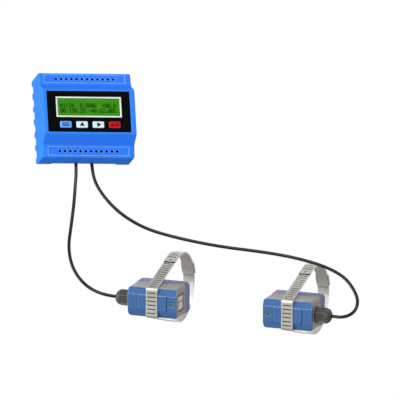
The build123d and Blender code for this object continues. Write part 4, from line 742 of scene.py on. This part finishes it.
# Painted shade: dark strips laid on the face along the field's two ends and its lower edge, where
# the step's shade falls
for side, lower in (("left", -1), ("right", 1)):
    lid = turned_seats[side] @ Matrix.Translation((0, -lid_face, 0))
    out = Matrix.Rotation(math.pi / 2, 4, "X")
    shade_lines = bmesh.new()
    for end in (1, -1):
        x = end * (field_long + shade_line) / 2
        patch(shade_lines, lid @ Matrix.Translation((x, 0, 0)) @ out, shade_line, field_wide)
        x = end * (field_long + saddle_wide) / 4
        z = lower * (field_wide - shade_line) / 2
        long = (field_long - saddle_wide) / 2
        patch(shade_lines, lid @ Matrix.Translation((x, 0, z)) @ out, long, shade_line)
    piece(f"{side}_lid_shade_lines", shade_lines, shade_line_blue, "meter")


# Cable glands: dark grey polyamide, a hexagon against the case, a rubber ring inside and a domed
# clamping nut round the cable, with grip ribs moulded on the dome.
# The nut's and the ribs' edges are painted much paler than the grey, a painted highlight
gland_grey = moulding(
    "gland grey",
    (0.050, 0.048, 0.045),
    (0.26, 0.26, 0.25),
    roughness=0.36,
    shine=0.3,
    mottle=0.2,
)
dress(["left_gland_body", "right_gland_body", "left_gland_nut", "right_gland_nut"], gland_grey)
seal_rubber = moulding(
    "seal rubber", (0.015, 0.015, 0.015), (0.04, 0.04, 0.04), roughness=0.7
)
dress(["left_gland_seal", "right_gland_seal"], seal_rubber)
rib_count = 12
rib_size = Matrix.Diagonal((0.0008, 0.0011, 0.0036, 1))
rib_edge = 0.0002
dome_radius = 0.00705
dome_along = 0.01425
dome_slope = math.radians(-25.9)
for side in ("left", "right"):
    # The gland's own axis is z, out of the case's end
    mouth = (
        turned_seats[side]
        @ Matrix.Translation((-case_end, -plate_out, 0))
        @ Matrix.Rotation(-math.pi / 2, 4, "Y")
    )
    ribs = bmesh.new()
    for i in range(rib_count):
        along_dome = (
            mouth
            @ Matrix.Rotation(i * math.tau / rib_count, 4, "Z")
            @ Matrix.Translation((dome_radius, 0, dome_along))
            @ Matrix.Rotation(dome_slope, 4, "Y")
        )
        bmesh.ops.create_cube(ribs, size=1.0, matrix=along_dome @ rib_size)
    bmesh.ops.bevel(
        ribs,
        geom=ribs.edges[:],
        offset=rib_edge,
        offset_type="OFFSET",
        affect="EDGES",
        segments=2,
        profile=0.5,
        material=-1,
    )
    piece(f"{side}_gland_ribs", ribs, gland_grey, "meter")


# Straps: half-inch stainless band with slots pressed into its face, each a loop held open by
# its transducer's saddle, with a folded housing of the same steel over the lap at the back.
# Painted shade: the slots' floors and the lap's corners are darkened in full
strap_steel = metal(
    "strap steel", (0.545, 0.525, 0.49), 0.38, stretch=(3000, 3000, 80), shade=1.0
)
dress(["left_strap", "right_strap", "left_worm_housing", "right_worm_housing"], strap_steel)


# Worm screws: zinc-plated, with one helical thread that engages the band's slots, a slotted
# hexagonal head and a collar that keeps each in its housing.
worm_angle = math.radians(20)
worm_out = 0.0419
core_radius = 0.0026
thread_radius = 0.00335
thread_root = core_radius - 0.0002
thread_half_foot = 0.0009
thread_half_crest = 0.0004
thread_pitch = 0.0044
thread_turns = 2.5
turn_steps = 36
worm_half = 0.0063
head_high = 0.0044
head_across = 0.0064
head_radius = head_across / math.sqrt(3)
slot_deep = 0.0016
slot_half = 0.0005
collar_radius = 0.0039
collar_thick = 0.001
sort_line = Vector((0.91, 0.37, 0.61))
for side in ("left", "right"):
    screw = bmesh.new()
    for sides, radius, bottom, top in (
        (turn_steps, core_radius, -worm_half, worm_half),
        (turn_steps, collar_radius, worm_half, worm_half + collar_thick),
        (6, head_radius, -worm_half - head_high + slot_deep, -worm_half),
    ):
        bmesh.ops.create_cone(
            screw,
            cap_ends=True,
            segments=sides,
            radius1=radius,
            radius2=radius,
            depth=top - bottom,
            matrix=Matrix.Translation((0, 0, (top + bottom) / 2)),
        )
    start = -thread_turns * thread_pitch / 2
    ridge = [
        screw.verts.new((radius, 0, start + height))
        for radius, height in (
            (thread_root, -thread_half_foot),
            (thread_radius, -thread_half_crest),
            (thread_radius, thread_half_crest),
            (thread_root, thread_half_foot),
        )
    ]
    ridge_edges = [screw.edges.new((ridge[i - 1], ridge[i])) for i in range(4)]
    bmesh.ops.spin(
        screw,
        geom=ridge + ridge_edges,
        cent=(0, 0, 0),
        axis=(0, 0, 1),
        dvec=(0, 0, thread_pitch / turn_steps),
        angle=thread_turns * math.tau,
        steps=int(thread_turns * turn_steps),
    )
    # The head's outer end is two jaws, each cut back from the middle to leave the driver's slot
    for sign in (1, -1):
        jaw = bmesh.ops.create_cone(
            screw,
            cap_ends=True,
            segments=6,
            radius1=head_radius,
            radius2=head_radius,
            depth=slot_deep,
            matrix=Matrix.Translation((0, 0, -worm_half - head_high + slot_deep / 2)),
        )["verts"]
        whole_jaw = dict.fromkeys(
            item for vert in jaw for item in (vert, *vert.link_edges, *vert.link_faces)
        )
        bmesh.ops.bisect_plane(
            screw,
            geom=list(whole_jaw),
            plane_co=(0, sign * slot_half, 0),
            plane_no=(0, -sign, 0),
            clear_outer=True,
        )
    bmesh.ops.holes_fill(screw, edges=screw.edges[:])
    bmesh.ops.recalc_face_normals(screw, faces=screw.faces[:])
    # Spin's order of points and faces differs from run to run, so they are sorted along a line
    screw.verts.sort(key=lambda vert: vert.co.dot(sort_line))
    screw.faces.sort(key=lambda face: face.calc_center_median().dot(sort_line))
    bmesh.ops.transform(
        screw,
        verts=screw.verts[:],
        matrix=seats[side]
        @ Matrix.Rotation(worm_angle, 4, "X")
        @ Matrix.Translation((0, worm_out, 0)),
    )
    made = piece(f"{side}_threaded_worm", screw, zinc, f"{side}_worm")
    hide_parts(f"{side}_worm_screw")


# Cables: black sheathed leads, 3.6 mm thick, from the fifth and the eighth lower terminal to the
# glands. The short one hangs beside the module, the long one sweeps over and round to the right.
sheath_black = bpy.data.materials.new("sheath black")
sheath_black.use_nodes = True
tree = sheath_black.node_tree
shader = tree.nodes["Principled BSDF"]
shader.inputs["Specular IOR Level"].default_value = 0.25
place = tree.nodes.new("ShaderNodeTexCoord")
skin = tree.nodes.new("ShaderNodeGroup")
skin.node_tree = moulded_skin
skin.inputs["Color"].default_value = (0.003, 0.003, 0.003, 1)
skin.inputs["Mottle"].default_value = 0.3
skin.inputs["Roughness"].default_value = 0.12
skin.inputs["Grain Scale"].default_value = 1200
tree.links.new(place.outputs["Object"], skin.inputs["Vector"])
tree.links.new(skin.outputs["Color"], shader.inputs["Base Color"])
tree.links.new(skin.outputs["Roughness"], shader.inputs["Roughness"])

cable_routes = {
    "left": [
        (-0.00855, -0.015, -0.039),
        (-0.00855, -0.015, -0.053),
        (-0.0095, -0.0115, -0.0675),
        (-0.0121, -0.0095, -0.091),
        (-0.016, -0.0075, -0.1145),
        (-0.020, -0.007, -0.1355),
        (-0.0185, -0.008, -0.1555),
        (-0.0115, -0.011, -0.1725),
        (0.0, -0.016, -0.186),
        (0.01514, -0.02767, -0.19592),
        (0.02929, -0.03633, -0.19966),
    ],
    "right": [
        (0.00855, -0.015, -0.039),
        (0.00855, -0.015, -0.053),
        (0.0115, -0.0145, -0.0685),
        (0.0215, -0.020, -0.0885),
        (0.037, -0.028, -0.108),
        (0.0575, -0.040, -0.125),
        (0.081, -0.0555, -0.1375),
        (0.106, -0.0735, -0.1491),
        (0.1325, -0.092, -0.1595),
        (0.159, -0.1115, -0.1685),
        (0.1835, -0.130, -0.178),
        (0.2055, -0.1465, -0.1885),
        (0.2245, -0.159, -0.1995),
        (0.239, -0.168, -0.212),
        (0.2465, -0.1725, -0.2255),
        (0.2505, -0.1745, -0.2385),
        (0.248, -0.174, -0.2485),
        (0.242, -0.1705, -0.254),
        (0.234, -0.164, -0.255),
        (0.22575, -0.15657, -0.25151),
        (0.21951, -0.15275, -0.24986),
    ],
}
cable_thick = 0.0036
for side, route in cable_routes.items():
    line = bpy.data.curves.new(f"{side}_lead", "CURVE")
    line.dimensions = "3D"
    line.bevel_depth = cable_thick / 2
    line.bevel_resolution = 6
    line.resolution_u = 16
    line.use_fill_caps = True
    spline = line.splines.new("NURBS")
    spline.points.add(len(route) - 1)
    for point, spot in zip(spline.points, route):
        point.co = (*spot, 1)
    spline.order_u = 3
    spline.use_endpoint_u = True
    line.materials.append(sheath_black)
    lead = bpy.data.objects.new(f"{side}_lead", line)
    bpy.context.scene.collection.objects.link(lead)
    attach(lead, "meter")
    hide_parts(f"{side}_cable")


# Studio: a pale floor far below the hanging object, soft lamps and a long lens from the left and
# below. The world is white to the camera and in reflections, and a soft grey fill elsewhere.
floor_middle = (0.1, 0, -4.4)
floor_half = 12.0
floor_shape = bmesh.new()
bmesh.ops.create_grid(
    floor_shape,
    x_segments=1,
    y_segments=1,
    size=floor_half,
    matrix=Matrix.Translation(floor_middle),
)
floor_mesh = bpy.data.meshes.new("floor")
floor_shape.to_mesh(floor_mesh)
floor_shape.free()
floor = bpy.data.objects.new("floor", floor_mesh)
bpy.context.scene.collection.objects.link(floor)
floor_paint = bpy.data.materials.new("floor paint")
floor_paint.use_nodes = True
shader = floor_paint.node_tree.nodes["Principled BSDF"]
shader.inputs["Base Color"].default_value = (0.86, 0.86, 0.86, 1)
shader.inputs["Roughness"].default_value = 0.8
floor_mesh.materials.append(floor_paint)

world = bpy.data.worlds.new("studio")
bpy.context.scene.world = world
world.use_nodes = True
tree = world.node_tree
fill = tree.nodes["Background"]
fill.inputs["Color"].default_value = (0.95, 0.97, 1.0, 1)
fill.inputs["Strength"].default_value = 0.30
white = tree.nodes.new("ShaderNodeBackground")
white.inputs["Color"].default_value = (1, 1, 1, 1)
white.inputs["Strength"].default_value = 1.0
path = tree.nodes.new("ShaderNodeLightPath")
seen = tree.nodes.new("ShaderNodeMath")
seen.operation = "MAXIMUM"
tree.links.new(path.outputs["Is Camera Ray"], seen.inputs[0])
tree.links.new(path.outputs["Is Glossy Ray"], seen.inputs[1])
seen_through = tree.nodes.new("ShaderNodeMath")
seen_through.operation = "MAXIMUM"
tree.links.new(seen.outputs[0], seen_through.inputs[0])
tree.links.new(path.outputs["Is Transmission Ray"], seen_through.inputs[1])
either = tree.nodes.new("ShaderNodeMixShader")
tree.links.new(seen_through.outputs[0], either.inputs["Fac"])
tree.links.new(fill.outputs["Background"], either.inputs[1])
tree.links.new(white.outputs["Background"], either.inputs[2])
tree.links.new(either.outputs["Shader"], tree.nodes["World Output"].inputs["Surface"])

for name, toward, strength, softness in (
    ("key lamp", (-0.75, -0.65, 0.75), 0.8, 0.4),
    ("left lamp", (-0.98, -0.15, 0.0), 2.1, 0.5),
    ("front lamp", (-0.24, -0.96, 0.0), 1.6, 0.3),
    ("side lamp", (0.8, -0.5, 0.15), 0.2, 0.8),
    ("back lamp", (0.2, 0.9, 0.5), 0.5, 0.8),
):
    lamp = bpy.data.lights.new(name, "SUN")
    lamp.energy = strength
    lamp.angle = softness
    holder = bpy.data.objects.new(name, lamp)
    holder.rotation_euler = Vector(toward).to_track_quat("Z", "Y").to_euler()
    bpy.context.scene.collection.objects.link(holder)

aim = Vector((0.1014, -0.1064, -0.1114))
to_right = Vector((0.9715, -0.2303, -0.0556))
upward = Vector((-0.0084, -0.2679, 0.9634))
backward = Vector((-0.2367, -0.9355, -0.2622))
view_width = 0.424
lens = bpy.data.cameras.new("camera")
lens.lens = 1200
lens.sensor_width = 36
lens.clip_end = 40
stand = aim + backward * view_width * lens.lens / lens.sensor_width
camera = bpy.data.objects.new("camera", lens)
camera.matrix_world = Matrix(
    (
        (to_right.x, upward.x, backward.x, stand.x),
        (to_right.y, upward.y, backward.y, stand.y),
        (to_right.z, upward.z, backward.z, stand.z),
        (0, 0, 0, 1),
    )
)
bpy.context.scene.collection.objects.link(camera)
bpy.context.scene.camera = camera
bpy.context.scene.view_settings.view_transform = "Standard"
